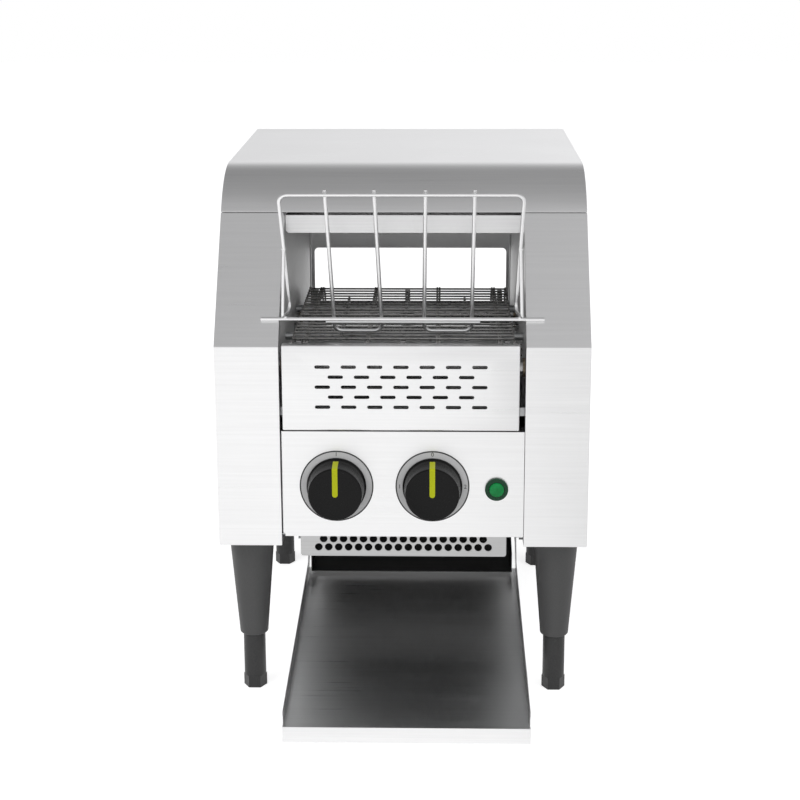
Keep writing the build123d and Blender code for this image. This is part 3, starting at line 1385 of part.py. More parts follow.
def build():
    """Writes every sub-part."""
    save("left_side_housing", mirrored(side_housing()))
    save("right_side_housing", right_side_housing())
    save("left_inner_wall", mirrored(inner_wall()))
    save("right_inner_wall", inner_wall())
    save("top_cover", top_cover())
    save("rear_panel", rear_panel())
    save("slotted_front_guard", slotted_guard())
    save("control_panel", control_panel())
    save("perforated_air_guard", perforated_guard())
    save("base_plates", mirrored(base_plate()), base_plate())
    save("control_box", control_box())
    save("heat_shield", heat_shield())
    save("upper_reflector", upper_reflector())
    save("lower_reflector", lower_reflector())

    save("conveyor_belt", *conveyor_belt())
    save("belt_support", belt_support())
    shaft_end = WALL_OUT + BUSH_FLANGE + 2 * BUSH_REACH
    save("idler_shaft", rod_x(-shaft_end, shaft_end, IDLER_Y, AXIS_Z, SHAFT_D))
    save("idler_wheels", *belt_wheels(IDLER_Y))
    save("drive_shaft", rod_x(-shaft_end, CHAIN_X + SPROCKET_HUB_LENGTH / 2, DRIVE_Y, AXIS_Z, SHAFT_D))
    save("drive_wheels", *belt_wheels(DRIVE_Y))
    save("shaft_bushes", *[shaft_bush(side, y) for side in (-1, 1) for y in (IDLER_Y, DRIVE_Y)])

    save("shaft_sprocket", sprocket(DRIVE_Y, AXIS_Z, SHAFT_TEETH, SHAFT_CHAIN_R, SHAFT_D))
    save("motor_sprocket", sprocket(MOTOR_Y, MOTOR_Z, MOTOR_TEETH, MOTOR_CHAIN_R, MOTOR_SHAFT_D))
    save("motor_output_shaft", motor_shaft())
    save("drive_chain", drive_chain())
    save("gearbox", gearbox())
    save("drive_motor", motor_can())
    save("motor_bracket", motor_bracket())

    save("quartz_tubes", *[heater_tube(y, z) for y, z in heater_places()])
    save("heater_filaments", *[heater_filament(y, z) for y, z in heater_places()])
    save("heater_caps", *[heater_cap(side, y, z) for side in (-1, 1) for y, z in heater_places()])

    save("dial_plates", dial_plate(SPEED_DIAL_X), dial_plate(MODE_DIAL_X))
    for name, x in (("speed", SPEED_DIAL_X), ("mode", MODE_DIAL_X)):
        save(f"{name}_knob", knob(x))
        save(f"{name}_pointer", pointer(x))
        save(f"{name}_spindle", spindle(x))
    save("speed_potentiometer", speed_potentiometer())
    save("mode_switch", mode_switch())
    save("pilot_bezel", pilot_bezel())
    save("pilot_lens", pilot_lens())

    save("control_board", control_board())
    save("board_standoffs", *board_standoffs())
    save("board_components", *board_components())
    save("fan_frame", fan_frame())
    save("fan_rotor", fan_rotor())
    save("terminal_block", terminal_block())

    save("discharge_chute", discharge_chute())
    save("discharge_tray", discharge_tray())
    save("tray_hangers", tray_hanger(-1), tray_hanger(1))
    save("feed_rack", feed_rack())

    save("legs", *[leg(x, y) for x, y in leg_places()])
    save("leg_bolts", *[leg_bolt(x, y) for x, y in leg_places()])
    names = ("front_left_foot", "front_right_foot", "rear_left_foot", "rear_right_foot")
    for name, (x, y) in zip(names, leg_places()):
        save(name, foot(x, y))
    rear = [rear_screw(x, z) for x, z in rear_screw_places()]
    save("pan_head_screws", *rear, motor_screw(-1), motor_screw(1))
    save("cable_gland", cable_gland())


build()
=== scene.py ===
# %% [markdown]
# # A narrow conveyor toaster, dressed in Blender
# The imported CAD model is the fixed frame. Everything below either gives one of its nodes a better finish, or
# makes a more detailed piece that stands for the node. Lengths are written in millimetres in the housing's own
# frame (y = 0 at the front plane, z = 0 at the housing's underside) and turned into metres by one helper,
# because sheet-metal sizes are easier to read that way.

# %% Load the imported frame
import json
from math import atan2, cos, hypot, pi, radians, sin
import bmesh
import bpy
from mathutils import Matrix, Vector


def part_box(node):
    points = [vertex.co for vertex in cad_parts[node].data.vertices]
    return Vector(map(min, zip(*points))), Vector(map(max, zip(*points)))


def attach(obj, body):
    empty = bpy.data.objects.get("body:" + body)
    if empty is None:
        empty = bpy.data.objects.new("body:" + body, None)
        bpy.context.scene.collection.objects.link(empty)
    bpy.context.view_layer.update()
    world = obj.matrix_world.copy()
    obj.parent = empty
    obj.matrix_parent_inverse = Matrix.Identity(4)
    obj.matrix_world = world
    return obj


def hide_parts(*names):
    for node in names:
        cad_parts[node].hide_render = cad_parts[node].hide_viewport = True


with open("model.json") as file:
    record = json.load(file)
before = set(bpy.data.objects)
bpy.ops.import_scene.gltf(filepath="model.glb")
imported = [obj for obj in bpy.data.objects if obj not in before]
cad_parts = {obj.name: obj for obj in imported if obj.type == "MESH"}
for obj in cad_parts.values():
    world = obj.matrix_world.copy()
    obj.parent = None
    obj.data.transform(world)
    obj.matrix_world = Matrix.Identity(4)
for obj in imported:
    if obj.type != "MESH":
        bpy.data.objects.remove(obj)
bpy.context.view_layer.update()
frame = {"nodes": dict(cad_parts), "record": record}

# %% Millimetres in the housing's frame
MM = 0.001
HOUSING_FRONT = -140.5
LEG_HEIGHT = 133.5


def at(x, y, z):
    """A point of the housing's frame, in metres in the row frame."""
    return Vector((x * MM, (y + HOUSING_FRONT) * MM, (z + LEG_HEIGHT) * MM))


print("housing origin at", at(0, 0, 0)[:])

# %% [markdown]
# ## Camera
# The view is from a little above the lid, slightly to the right of the middle, and far enough away for the
# sides to stay almost parallel. The camera could be aimed with a Track To constraint, but writing its three
# axes from a pitch, a yaw and a roll keeps the angles readable. The optical axis is above the middle of the
# frame, which is what a small vertical shift does.

# %% Camera
PITCH, YAW, ROLL = 0.2412, 0.0248, -0.0034
VIEWPOINT = at(29.7, -1258.1, 479.2)
SENSOR_WIDTH = 36
LENS = 76.77
AXIS_RISE = -0.08


def link_piece(name, data):
    """A new object for a mesh, a curve, a camera or a light, in the scene."""
    piece = bpy.data.objects.new(name, data)
    bpy.context.scene.collection.objects.link(piece)
    return piece


ahead = Vector((-sin(YAW) * cos(PITCH), cos(YAW) * cos(PITCH), -sin(PITCH)))
level = Vector((cos(YAW), sin(YAW), 0))
upward = level.cross(ahead)
across = cos(ROLL) * level + sin(ROLL) * upward
upright = cos(ROLL) * upward - sin(ROLL) * level
camera_data = bpy.data.cameras.new("camera")
camera_data.sensor_width = SENSOR_WIDTH
camera_data.lens = LENS
camera_data.shift_y = AXIS_RISE
camera = link_piece("camera", camera_data)
turn = Matrix((across, upright, -ahead)).transposed().to_4x4()
camera.matrix_world = Matrix.Translation(VIEWPOINT) @ turn
bpy.context.scene.camera = camera
print("lens", round(camera_data.lens, 2), "camera at", [round(v, 3) for v in camera.location])

# %% [markdown]
# ## One helper for every node tree
# The world, each material and each Geometry Nodes group is a tree of nodes. A node can be added, set and
# linked in a line for each step, but then the tree is hard to see in the script. This helper does all three
# in one call: an input that is given another node's socket gets a link, and any other input gets a value.

# %% Node helper


def add_node(tree, kind, wires=None, **settings):
    """A new node of a tree, with its settings made and its inputs linked or set."""
    made = tree.nodes.new(kind)
    for key, setting in settings.items():
        setattr(made, key, setting)
    for socket, source in (wires or {}).items():
        if isinstance(source, bpy.types.NodeSocket):
            tree.links.new(source, made.inputs[socket])
        else:
            made.inputs[socket].default_value = source
    return made


def larger(tree, a, b):
    """The larger of two values, which for two yes-or-no values means either."""
    return add_node(tree, "ShaderNodeMath", {0: a, 1: b}, operation="MAXIMUM").outputs[0]


print("node helper ready")

# %% [markdown]
# ## Studio
# Brushed steel shows its surroundings more than its own colour, so the room matters more than the lamps. The
# table and the low part of both walls are white and the ceiling is grey: upright sheets then look nearly
# white, sheets that lean back look grey, and the lid's shoulder turns from white to grey in a short way. One
# gradient makes that room. It follows the angle from the foot of the back wall, over the ceiling, to the foot
# of the front wall, so the two walls can differ. The room is a little brighter on the right than on the left.
# The camera itself sees plain white.

# %% The room's tones
scene = bpy.context.scene
scene.view_settings.view_transform = "Standard"
world = bpy.data.worlds.new("studio")
scene.world = world
world.use_nodes = True
sky = world.node_tree
sky.nodes.clear()
ROOM = (
    (0.0, 0.98), (0.10, 0.96), (0.17, 0.42), (0.24, 0.27), (0.50, 0.32), (0.61, 0.38),
    (0.66, 0.48), (0.72, 0.53), (0.80, 0.66), (0.90, 0.90), (1.0, 0.95),
)
BLUER = 1.01
direction = add_node(sky, "ShaderNodeTexCoord")
parts = add_node(sky, "ShaderNodeSeparateXYZ", {0: direction.outputs["Generated"]})
height = larger(sky, parts.outputs["Z"], 0.0)
over = add_node(sky, "ShaderNodeMath", {0: height, 1: parts.outputs["Y"]}, operation="ARCTAN2")
half_turn = add_node(sky, "ShaderNodeMath", {0: over.outputs[0], 1: pi}, operation="DIVIDE")
room = add_node(sky, "ShaderNodeValToRGB", {"Fac": half_turn.outputs[0]})
tones = room.color_ramp.elements
for position, tone in ROOM:
    if position in (0.0, 1.0):
        element = tones[0 if position == 0.0 else -1]
    else:
        element = tones.new(position)
    element.color = (tone, tone, tone * BLUER, 1)
print("room tones", len(tones))

# %% The room's light and the plain white behind the toaster
sideways = add_node(sky, "ShaderNodeMapRange", {
    "Value": parts.outputs["X"], "From Min": -0.15, "From Max": 0.15, "To Min": 0.91, "To Max": 1.09,
})
lit = add_node(sky, "ShaderNodeBackground", {
    "Color": room.outputs["Color"], "Strength": sideways.outputs["Result"],
})
plain = add_node(sky, "ShaderNodeBackground", {"Color": (1, 1, 1, 1), "Strength": 1.0})
ray = add_node(sky, "ShaderNodeLightPath")
seen = larger(sky, ray.outputs["Is Camera Ray"], ray.outputs["Is Transmission Ray"])
either = add_node(sky, "ShaderNodeMixShader", {"Fac": seen, 1: lit.outputs[0], 2: plain.outputs[0]})
add_node(sky, "ShaderNodeOutputWorld", {"Surface": either.outputs[0]})
print("world nodes", len(sky.nodes))

# %% Lamps
AIM = at(0, 100, 100)


def lamp(name, place, size, power):
    """A square soft lamp pointed at the toaster's middle, kept out of the steel's reflections."""
    light = bpy.data.lights.new(name, "AREA")
    light.shape = "SQUARE"
    light.size = size
    light.energy = power
    holder = link_piece(name, light)
    holder.visible_glossy = False
    holder.location = place
    holder.rotation_euler = (AIM - Vector(place)).to_track_quat("-Z", "Y").to_euler()
    return holder


key_lamp = lamp("key_lamp", (-1.5, -1.7, 2.3), size=1.4, power=24)
fill_lamp = lamp("fill_lamp", (1.9, -1.4, 1.6), size=1.6, power=12)
print("lamps", key_lamp.data.energy, fill_lamp.data.energy)

# %% [markdown]
# ### Floor
# The toaster stands on a wide white table. Plain white paint would show grey, and more light on it would also
# bleach the toaster, so the paint glows a little instead: fully for the camera and through glass, and less in
# the steel's reflections, where the glow fades towards the right. Diffuse light sees only the matt paint, so
# that the table keeps the toaster's shadow.

# %% Floor sheet
FLOOR_HALF = 6.0
floor_mesh = bpy.data.meshes.new("floor")
floor_corners = [(x * FLOOR_HALF, y * FLOOR_HALF, 0) for x, y in ((-1, -1), (1, -1), (1, 1), (-1, 1))]
floor_mesh.from_pydata(floor_corners, [], [(0, 1, 2, 3)])
floor = link_piece("floor", floor_mesh)
print("floor", 2 * FLOOR_HALF, "m square")

# %% Floor paint
floor_paint = bpy.data.materials.new("white_table")
floor_paint.use_nodes = True
table = floor_paint.node_tree
table.nodes.clear()
matt = add_node(table, "ShaderNodeBsdfDiffuse", {"Color": (0.80, 0.80, 0.80, 1)})
full_glow = add_node(table, "ShaderNodeEmission", {"Color": (1, 1, 1, 1), "Strength": 0.70})
spot = add_node(table, "ShaderNodeTexCoord")
spot_parts = add_node(table, "ShaderNodeSeparateXYZ", {0: spot.outputs["Object"]})
fading = add_node(table, "ShaderNodeMapRange", {
    "Value": spot_parts.outputs["X"], "From Min": 0.05, "From Max": 0.23, "To Min": 0.45, "To Max": 0.19,
}, interpolation_type="SMOOTHSTEP")
soft_glow = add_node(table, "ShaderNodeEmission", {"Strength": fading.outputs["Result"]})
looks = add_node(table, "ShaderNodeLightPath")
direct = larger(table, looks.outputs["Is Camera Ray"], looks.outputs["Is Transmission Ray"])
glow = add_node(table, "ShaderNodeMixShader", {"Fac": direct, 1: soft_glow.outputs[0], 2: full_glow.outputs[0]})
glowing = add_node(table, "ShaderNodeAddShader", {0: matt.outputs[0], 1: glow.outputs[0]})
any_look = larger(table, direct, looks.outputs["Is Glossy Ray"])
paint = add_node(table, "ShaderNodeMixShader", {"Fac": any_look, 1: matt.outputs[0], 2: glowing.outputs[0]})
add_node(table, "ShaderNodeOutputMaterial", {"Surface": paint.outputs[0]})
floor_mesh.materials.append(floor_paint)
print("floor paint", len(table.nodes), "nodes")

# %% [markdown]
# ## Finishes
# Every finish starts from the same few nodes: Object coordinates, a Mapping that stretches the pattern, one
# fine noise for grain and one broad noise for handling marks. The grain drives colour, roughness and bump
# together, so that a scratch is at once a little darker, a little rougher and a little deeper.

# %% Surface helper
PATTERN_LOW, PATTERN_HIGH = 0.3, 0.7
BROAD_SCALE = 14


def surface(
    name, dark, pale, rough, stretch=(1, 1, 1), grain=400.0, depth=0.0, metal=0.0, blotch=0.0, **sockets
):
    """A procedural finish: grain between two colours and two roughnesses, with broad blotches and a bump."""
    material = bpy.data.materials.new(name)
    material.use_nodes = True
    tree = material.node_tree
    shader = tree.nodes["Principled BSDF"]
    shader.inputs["Metallic"].default_value = metal
    for label, value in sockets.items():
        shader.inputs[label.replace("_", " ")].default_value = value
    place = add_node(tree, "ShaderNodeTexCoord", name="place").outputs["Object"]
    mapping = add_node(tree, "ShaderNodeMapping", {"Vector": place, "Scale": stretch})
    fine = add_node(tree, "ShaderNodeTexNoise", {
        "Vector": mapping.outputs["Vector"], "Scale": grain, "Detail": 3,
    }, name="grain").outputs["Fac"]
    broad = add_node(tree, "ShaderNodeTexNoise", {
        "Vector": place, "Scale": BROAD_SCALE, "Detail": 2,
    }).outputs["Fac"]
    pattern = add_node(tree, "ShaderNodeMix", {
        "Factor": blotch, "A": fine, "B": broad,
    }, data_type="FLOAT").outputs["Result"]
    tones = add_node(tree, "ShaderNodeValToRGB", {"Fac": pattern})
    ends = zip(tones.color_ramp.elements, (PATTERN_LOW, PATTERN_HIGH), (dark, pale))
    for element, position, colour in ends:
        element.position = position
        element.color = (*colour, 1)
    gloss = add_node(tree, "ShaderNodeMapRange", {
        "Value": pattern, "From Min": PATTERN_LOW, "From Max": PATTERN_HIGH,
        "To Min": rough[0], "To Max": rough[1],
    })
    tree.links.new(tones.outputs["Color"], shader.inputs["Base Color"])
    tree.links.new(gloss.outputs["Result"], shader.inputs["Roughness"])
    if depth:
        bump = add_node(tree, "ShaderNodeBump", {"Height": fine, "Strength": 0.5, "Distance": depth * MM})
        tree.links.new(bump.outputs["Normal"], shader.inputs["Normal"])
    return material


def grey(value):
    """The same value in red, green and blue."""
    return (value, value, value)


print("surface helper ready")

# %% [markdown]
# ### Brushed stainless sheet
# The housing is cut from sheet that was brushed along its length, so the grain runs level round the upright
# sheets and from side to side on the lid. A texture painted on a UV map could do it, but the sheets have no
# UVs. Here one noise is squeezed in height for upright faces and another in depth for level ones, and the
# face's own normal picks between them. The chute's near-black colour is painted shade for the shadow under
# the housing, and its low specular tint keeps that painted shade dark at a glancing angle too. The air guard
# strip's mid grey is painted shade as well, for the shade below the housing's front.

# %% Brushed stainless
BRUSH_STRETCH = 0.015
BRUSH_GRAIN = 700


def brushed(name, dark, pale, rough, blotch=0.25, metal=1.0, **sockets):
    """Stainless sheet with level brushing on upright faces and cross brushing on flat ones."""
    material = surface(
        name, dark, pale, rough, stretch=(BRUSH_STRETCH, BRUSH_STRETCH, 1), grain=BRUSH_GRAIN, depth=0.004,
        metal=metal, blotch=blotch, **sockets,
    )
    tree = material.node_tree
    flat_map = add_node(tree, "ShaderNodeMapping", {
        "Vector": tree.nodes["place"].outputs["Object"], "Scale": (BRUSH_STRETCH, 1, BRUSH_STRETCH),
    })
    flat_grain = add_node(tree, "ShaderNodeTexNoise", {
        "Vector": flat_map.outputs["Vector"], "Scale": BRUSH_GRAIN, "Detail": 3,
    })
    facing = add_node(tree, "ShaderNodeNewGeometry")
    split = add_node(tree, "ShaderNodeSeparateXYZ", {0: facing.outputs["Normal"]})
    flat = add_node(tree, "ShaderNodeMath", {0: split.outputs["Z"]}, operation="ABSOLUTE")
    upright_grain = tree.nodes["grain"].outputs["Fac"]
    choose = add_node(tree, "ShaderNodeMix", {
        "Factor": flat.outputs[0], "A": upright_grain, "B": flat_grain.outputs["Fac"],
    }, data_type="FLOAT")
    for link in list(upright_grain.links):
        if link.to_node != choose:
            tree.links.new(choose.outputs["Result"], link.to_socket)
    return material


FINISH = {}
FINISH["stainless"] = brushed("brushed_stainless", grey(0.885), grey(0.945), (0.27, 0.35))
FINISH["chamber_steel"] = brushed(
    "bright_chamber_steel", (0.78, 0.78, 0.775), (0.87, 0.87, 0.865), (0.46, 0.58), blotch=0.5, metal=0.7
)
FINISH["bright_sheet"] = brushed("satin_reflector_sheet", grey(0.74), grey(0.84), (0.26, 0.38), blotch=0.4)
# Painted shade: the chute's near-black colour and low specular tint stand for the shadow under the housing.
CHUTE_PAINTED_SHADE = brushed(
    "dull_chute_steel", grey(0.06), grey(0.10), (0.36, 0.48), blotch=0.5, Specular_Tint=(*grey(0.12), 1)
)
# Painted shade: the air guard strip's darker grey stands for the shade below the housing's front.
STRIP_PAINTED_SHADE = brushed("satin_air_guard_sheet", grey(0.50), grey(0.58), (0.30, 0.40))
print("sheet finishes", sorted(FINISH))

# %% [markdown]
# ### Other metals
# The belt has been through the heat many times, so its wire is a dull, uneven grey. Shafts and the rack are
# bright, plated brackets are slightly cloudy, and castings are coarse. One helper makes them all, because they
# differ only in colour, in roughness and in how coarse their grain is.

# %% Wires, shafts and castings
FINISH["plated_steel"] = surface(
    "zinc_plated_steel", (0.46, 0.47, 0.47), (0.62, 0.63, 0.64), (0.32, 0.5),
    grain=120, depth=0.01, metal=1.0, blotch=0.4,
)
FINISH["belt_wire"] = surface(
    "heat_darkened_wire", (0.20, 0.195, 0.19), (0.48, 0.47, 0.46), (0.24, 0.38),
    grain=260, depth=0.015, metal=0.5, blotch=0.45,
)
FINISH["shaft_steel"] = surface(
    "turned_shaft_steel", grey(0.52), grey(0.66), (0.18, 0.3),
    stretch=(1, 0.1, 0.1), grain=900, depth=0.004, metal=1.0,
)
FINISH["wheel_steel"] = surface(
    "pressed_wheel_steel", grey(0.28), grey(0.42), (0.3, 0.48), grain=300, depth=0.01, metal=1.0
)
FINISH["chain_steel"] = surface(
    "oiled_chain_steel", (0.10, 0.095, 0.09), (0.24, 0.235, 0.225), (0.22, 0.4),
    grain=500, depth=0.008, metal=1.0,
)
FINISH["bronze"] = surface(
    "sintered_bronze", (0.27, 0.22, 0.16), (0.42, 0.35, 0.27), (0.35, 0.5), grain=1400, depth=0.02, metal=1.0
)
FINISH["cast_zinc"] = surface(
    "cast_zinc", (0.40, 0.40, 0.41), (0.54, 0.54, 0.55), (0.42, 0.6),
    grain=800, depth=0.05, metal=1.0, blotch=0.3,
)
FINISH["filament"] = surface(
    "resistance_wire", (0.16, 0.15, 0.145), (0.28, 0.26, 0.25), (0.4, 0.55), grain=900, depth=0.01, metal=1.0
)
FINISH["chrome_wire"] = surface(
    "bright_rack_wire", grey(0.92), grey(0.97), (0.30, 0.42), grain=350, depth=0.004, metal=1.0, blotch=0.3
)
print("metal finishes", len(FINISH))

# %% [markdown]
# ### Plastics, glass and ceramic
# The knobs are black moulded plastic with a fine grain, the pointers and the lamp are coloured through, the
# legs are dark grey and slightly rough, and the heaters are clear quartz in white ceramic ends. Each could
# have a tree of its own, but they differ only in colour, gloss and grain, so one helper serves them all. A
# low specular level keeps the dark plastics dark in the white room.

# %% Plastics of the controls
FINISH["black_plastic"] = surface(
    "black_knob_plastic", grey(0.004), grey(0.007), (0.20, 0.28),
    grain=1500, depth=0.010, Specular_IOR_Level=0.17,
)
FINISH["pointer_yellow"] = surface(
    "yellow_green_pointer", (0.45, 0.49, 0.004), (0.51, 0.55, 0.007), (0.30, 0.42), grain=900, depth=0.01,
    Specular_IOR_Level=0.25,
)
FINISH["grey_plastic"] = surface(
    "grey_switch_plastic", grey(0.16), grey(0.20), (0.4, 0.52), grain=1200, depth=0.02
)
FINISH["dark_plastic"] = surface(
    "dark_moulded_plastic", grey(0.02), grey(0.032), (0.38, 0.5), grain=1000, depth=0.02
)
FINISH["white_plastic"] = surface(
    "white_terminal_plastic", grey(0.68), grey(0.74), (0.38, 0.5), grain=900, depth=0.015
)
FINISH["bezel_green"] = surface(
    "dark_green_bezel", (0.006, 0.040, 0.018), (0.010, 0.058, 0.026), (0.2, 0.32), grain=900, depth=0.01,
    Specular_IOR_Level=0.25,
)
FINISH["lens_green"] = surface(
    "green_lamp_lens", (0.001, 0.15, 0.030), (0.004, 0.27, 0.065), (0.10, 0.18),
    grain=260, depth=0.03, blotch=0.2, Specular_IOR_Level=0.25,
)
print("finishes so far", len(FINISH))

# %% Legs, board, glass and ceramic
FINISH["board_green"] = surface(
    "circuit_board_green", (0.010, 0.075, 0.030), (0.020, 0.13, 0.055), (0.28, 0.42),
    stretch=(1, 0.2, 1), grain=260, depth=0.02,
)
FINISH["leg_plastic"] = surface(
    "grey_leg_plastic", grey(0.058), grey(0.074), (0.36, 0.5), grain=1600, depth=0.025
)
FINISH["foot_plastic"] = surface(
    "dark_foot_plastic", grey(0.018), grey(0.03), (0.3, 0.44), grain=900, depth=0.02
)
FINISH["ceramic"] = surface(
    "heater_end_ceramic", (0.72, 0.70, 0.66), (0.82, 0.80, 0.77), (0.5, 0.7), grain=700, depth=0.03
)
FINISH["quartz"] = surface(
    "quartz_glass", grey(0.94), grey(0.99), (0.02, 0.09), stretch=(0.1, 1, 1), grain=300, depth=0.003,
    IOR=1.46, Transmission_Weight=1.0,
)
FINISH["dial_print"] = surface(
    "pale_grey_dial_print", grey(0.56), grey(0.62), (0.30, 0.40), grain=1200, depth=0.006
)
print("all finishes", len(FINISH))

# %% [markdown]
# ## Helpers for pieces
# `keep` hangs a finished piece on its body, hides the node it stands for and names its finish. `softened`
# copies a node, joins its loose triangles into clean faces and rolls its hard edges over by a fraction of a
# millimetre: a real folded or cut edge always catches a thin line of light, and a perfectly sharp one never
# does.

# %% Keeping a piece
BODY_OF = {node: body for body, nodes in frame["record"]["behaviour"]["bodies"].items() for node in nodes}
SLOT_OF = {part["node"]: part["material_slot"] for part in frame["record"]["subparts"]}


def smooth(mesh, angle=32):
    """Shade faces smooth, and keep edges sharper than the angle crisp."""
    mesh.shade_smooth()
    mesh.set_sharp_from_angle(angle=radians(angle))


def keep(piece, *nodes, dressed=False):
    """Hang a finished piece on the body of its node, and give it the node's finish unless it has one."""
    slot = SLOT_OF[nodes[0]]
    if not dressed:
        piece.data.materials.clear()
        piece.data.materials.append(FINISH[slot])
    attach(piece, BODY_OF[nodes[0]])
    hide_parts(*nodes)
    return piece


# %% Making plain meshes


def evaluated_mesh(piece, name):
    """The mesh of an object with its modifiers worked out."""
    bpy.context.view_layer.update()
    graph = bpy.context.evaluated_depsgraph_get()
    mesh = bpy.data.meshes.new_from_object(piece.evaluated_get(graph))
    mesh.name = name
    return mesh


def settle(piece):
    """Replace a piece's mesh by its evaluated one and drop the modifiers."""
    mesh = evaluated_mesh(piece, piece.name)
    piece.modifiers.clear()
    piece.data = mesh
    return piece


def mesh_of(work, name):
    """The mesh of a finished bmesh, which is freed."""
    mesh = bpy.data.meshes.new(name)
    work.to_mesh(mesh)
    work.free()
    return mesh


print("mesh helpers ready")

# %% Softening a node's edges
WELD = 0.002
COPLANAR = 0.5


def softened(node, width=0.35, angle=30, segments=2):
    """A copy of a CAD node with its edges rolled over by a width in millimetres."""
    mesh = frame["nodes"][node].data.copy()
    work = bmesh.new()
    work.from_mesh(mesh)
    bmesh.ops.remove_doubles(work, verts=work.verts, dist=WELD * MM)
    bmesh.ops.dissolve_limit(work, angle_limit=radians(COPLANAR), verts=work.verts, edges=work.edges)
    work.to_mesh(mesh)
    work.free()
    mesh.shade_smooth()
    piece = link_piece(node + "_finished", mesh)
    rounding = piece.modifiers.new("rolled_edges", "BEVEL")
    rounding.width = width * MM
    rounding.segments = segments
    rounding.limit_method = "ANGLE"
    rounding.angle_limit = radians(angle)
    evening = piece.modifiers.new("even_normals", "WEIGHTED_NORMAL")
    evening.weight = 100
    return keep(settle(piece), node)


print("softening welds points within", WELD, "mm")

# %% [markdown]
# ## Geometry Nodes helpers
# Slots, holes, belt links, wires and screws all repeat or follow a path, which is Geometry Nodes' own work.
# Each tree gets named inputs for its sizes, so that the same tree can punch two different sheets or bend
# seven different wires. The result is turned into a plain mesh at once, because instances and live modifiers
# don't survive an export.

# %% Tree helpers


class Tree:
    """A small writer for a Geometry Nodes tree."""

    def __init__(self, name, inputs):
        self.group = bpy.data.node_groups.new(name, "GeometryNodeTree")
        face = self.group.interface
        face.new_socket("Geometry", in_out="INPUT", socket_type="NodeSocketGeometry")
        self.sockets = {}
        for label, kind, value in inputs:
            socket = face.new_socket(label, in_out="INPUT", socket_type="NodeSocket" + kind)
            if value is not None:
                socket.default_value = value
            self.sockets[label] = socket.identifier
        face.new_socket("Geometry", in_out="OUTPUT", socket_type="NodeSocketGeometry")
        self.start = self.group.nodes.new("NodeGroupInput")
        self.end = self.group.nodes.new("NodeGroupOutput")

    def value(self, label):
        """One of the tree's own inputs."""
        return self.start.outputs[label]

    def node(self, kind, wires=None, **settings):
        """A node of this tree."""
        return add_node(self.group, kind, wires, **settings)

    def math(self, operation, a, b):
        """The result of a sum, a difference or another operation on two numbers."""
        return self.node("ShaderNodeMath", {0: a, 1: b}, operation=operation).outputs[0]

    def join(self, *geometries):
        """Several geometries as one."""
        joined = self.node("GeometryNodeJoinGeometry")
        for geometry in geometries:
            self.group.links.new(geometry, joined.inputs[0])
        return joined.outputs[0]

    def finish(self, geometry):
        """End the tree: make instances real and give everything the tree's material."""
        real = self.node("GeometryNodeRealizeInstances", {"Geometry": geometry})
        dress = self.node("GeometryNodeSetMaterial", {
            "Geometry": real.outputs[0], "Material": self.value("Finish"),
        })
        self.group.links.new(dress.outputs[0], self.end.inputs[0])


def grow(base, tree, name, **values):
    """Run a tree on a base object and return its result as a plain mesh object."""
    modifier = base.modifiers.new("tree", "NODES")
    modifier.node_group = tree.group
    for label, value in values.items():
        modifier[tree.sockets[label.replace("_", " ")]] = value
    base.update_tag()
    mesh = evaluated_mesh(base, name)
    base.modifiers.remove(modifier)
    bpy.data.objects.remove(base)
    return link_piece(name, mesh)


print("tree helper ready")

# %% [markdown]
# ## Housing sheets
# The two towers, the lid, the back panel, the chamber walls, the tray and the chute are folded from sheet.
# Their CAD shapes are right, so they are copied with rolled edges rather than modelled twice.

# %% Folded sheets
SHEETS = {
    "left_side_housing": 0.5, "right_side_housing": 0.5, "top_cover": 0.4, "rear_panel": 0.25,
    "left_inner_wall": 0.2, "right_inner_wall": 0.2, "upper_reflector": 0.2, "lower_reflector": 0.2,
    "control_panel": 0.2, "discharge_chute": 0.25, "discharge_tray": 0.3, "tray_hangers": 0.3,
    "control_box": 0.25, "heat_shield": 0.2, "base_plates": 0.25, "motor_bracket": 0.3, "belt_support": 0.25,
}
for node, roll in SHEETS.items():
    sheet = softened(node, roll)
    # The chute takes the dark finish of painted shade.
    if node == "discharge_chute":
        sheet.data.materials[0] = CHUTE_PAINTED_SHADE
    print(node, len(sheet.data.polygons), "faces")

# %% [markdown]
# ## Punched sheets
# The guard in front of the belt and the strip under the control box are the same kind of thing: a folded
# sheet with a staggered field of slots or round holes. One tree punches both. It lays one grid for the long
# rows and one for the short rows between them, puts a rounded cutter on every point and subtracts them all
# in one Mesh Boolean.

# %% The cutter of the punching tree
punch = Tree("punched_field", [
    ("Columns", "Int", 7), ("Long Rows", "Int", 3), ("Short Rows", "Int", 2),
    ("Pitch", "Float", 0.02), ("Row Pitch", "Float", 0.008),
    ("Hole Length", "Float", 0.012), ("Hole Height", "Float", 0.0027), ("Cutter Depth", "Float", 0.006),
    ("Centre", "Vector", (0.0, 0.0, 0.0)), ("Corner Steps", "Int", 5), ("Finish", "Material", None),
])
FULL_ROUND = 0.499
WELD_CUTTER = 1e-6
UPRIGHT = (pi / 2, 0, 0)
outline = punch.node("GeometryNodeCurvePrimitiveQuadrilateral", {
    "Width": punch.value("Hole Length"), "Height": punch.value("Hole Height"),
})
rounded = punch.node("GeometryNodeFilletCurve", {
    "Curve": outline.outputs[0], "Radius": punch.math("MULTIPLY", punch.value("Hole Height"), FULL_ROUND),
    "Count": punch.value("Corner Steps"),
}, mode="POLY")
face = punch.node("GeometryNodeFillCurve", {"Curve": rounded.outputs[0]}, mode="NGONS")
drawn = punch.node("GeometryNodeExtrudeMesh", {
    "Mesh": face.outputs[0], "Offset Scale": punch.value("Cutter Depth"), "Individual": False,
})
back_face = punch.node("GeometryNodeFlipFaces", {"Mesh": face.outputs[0]})
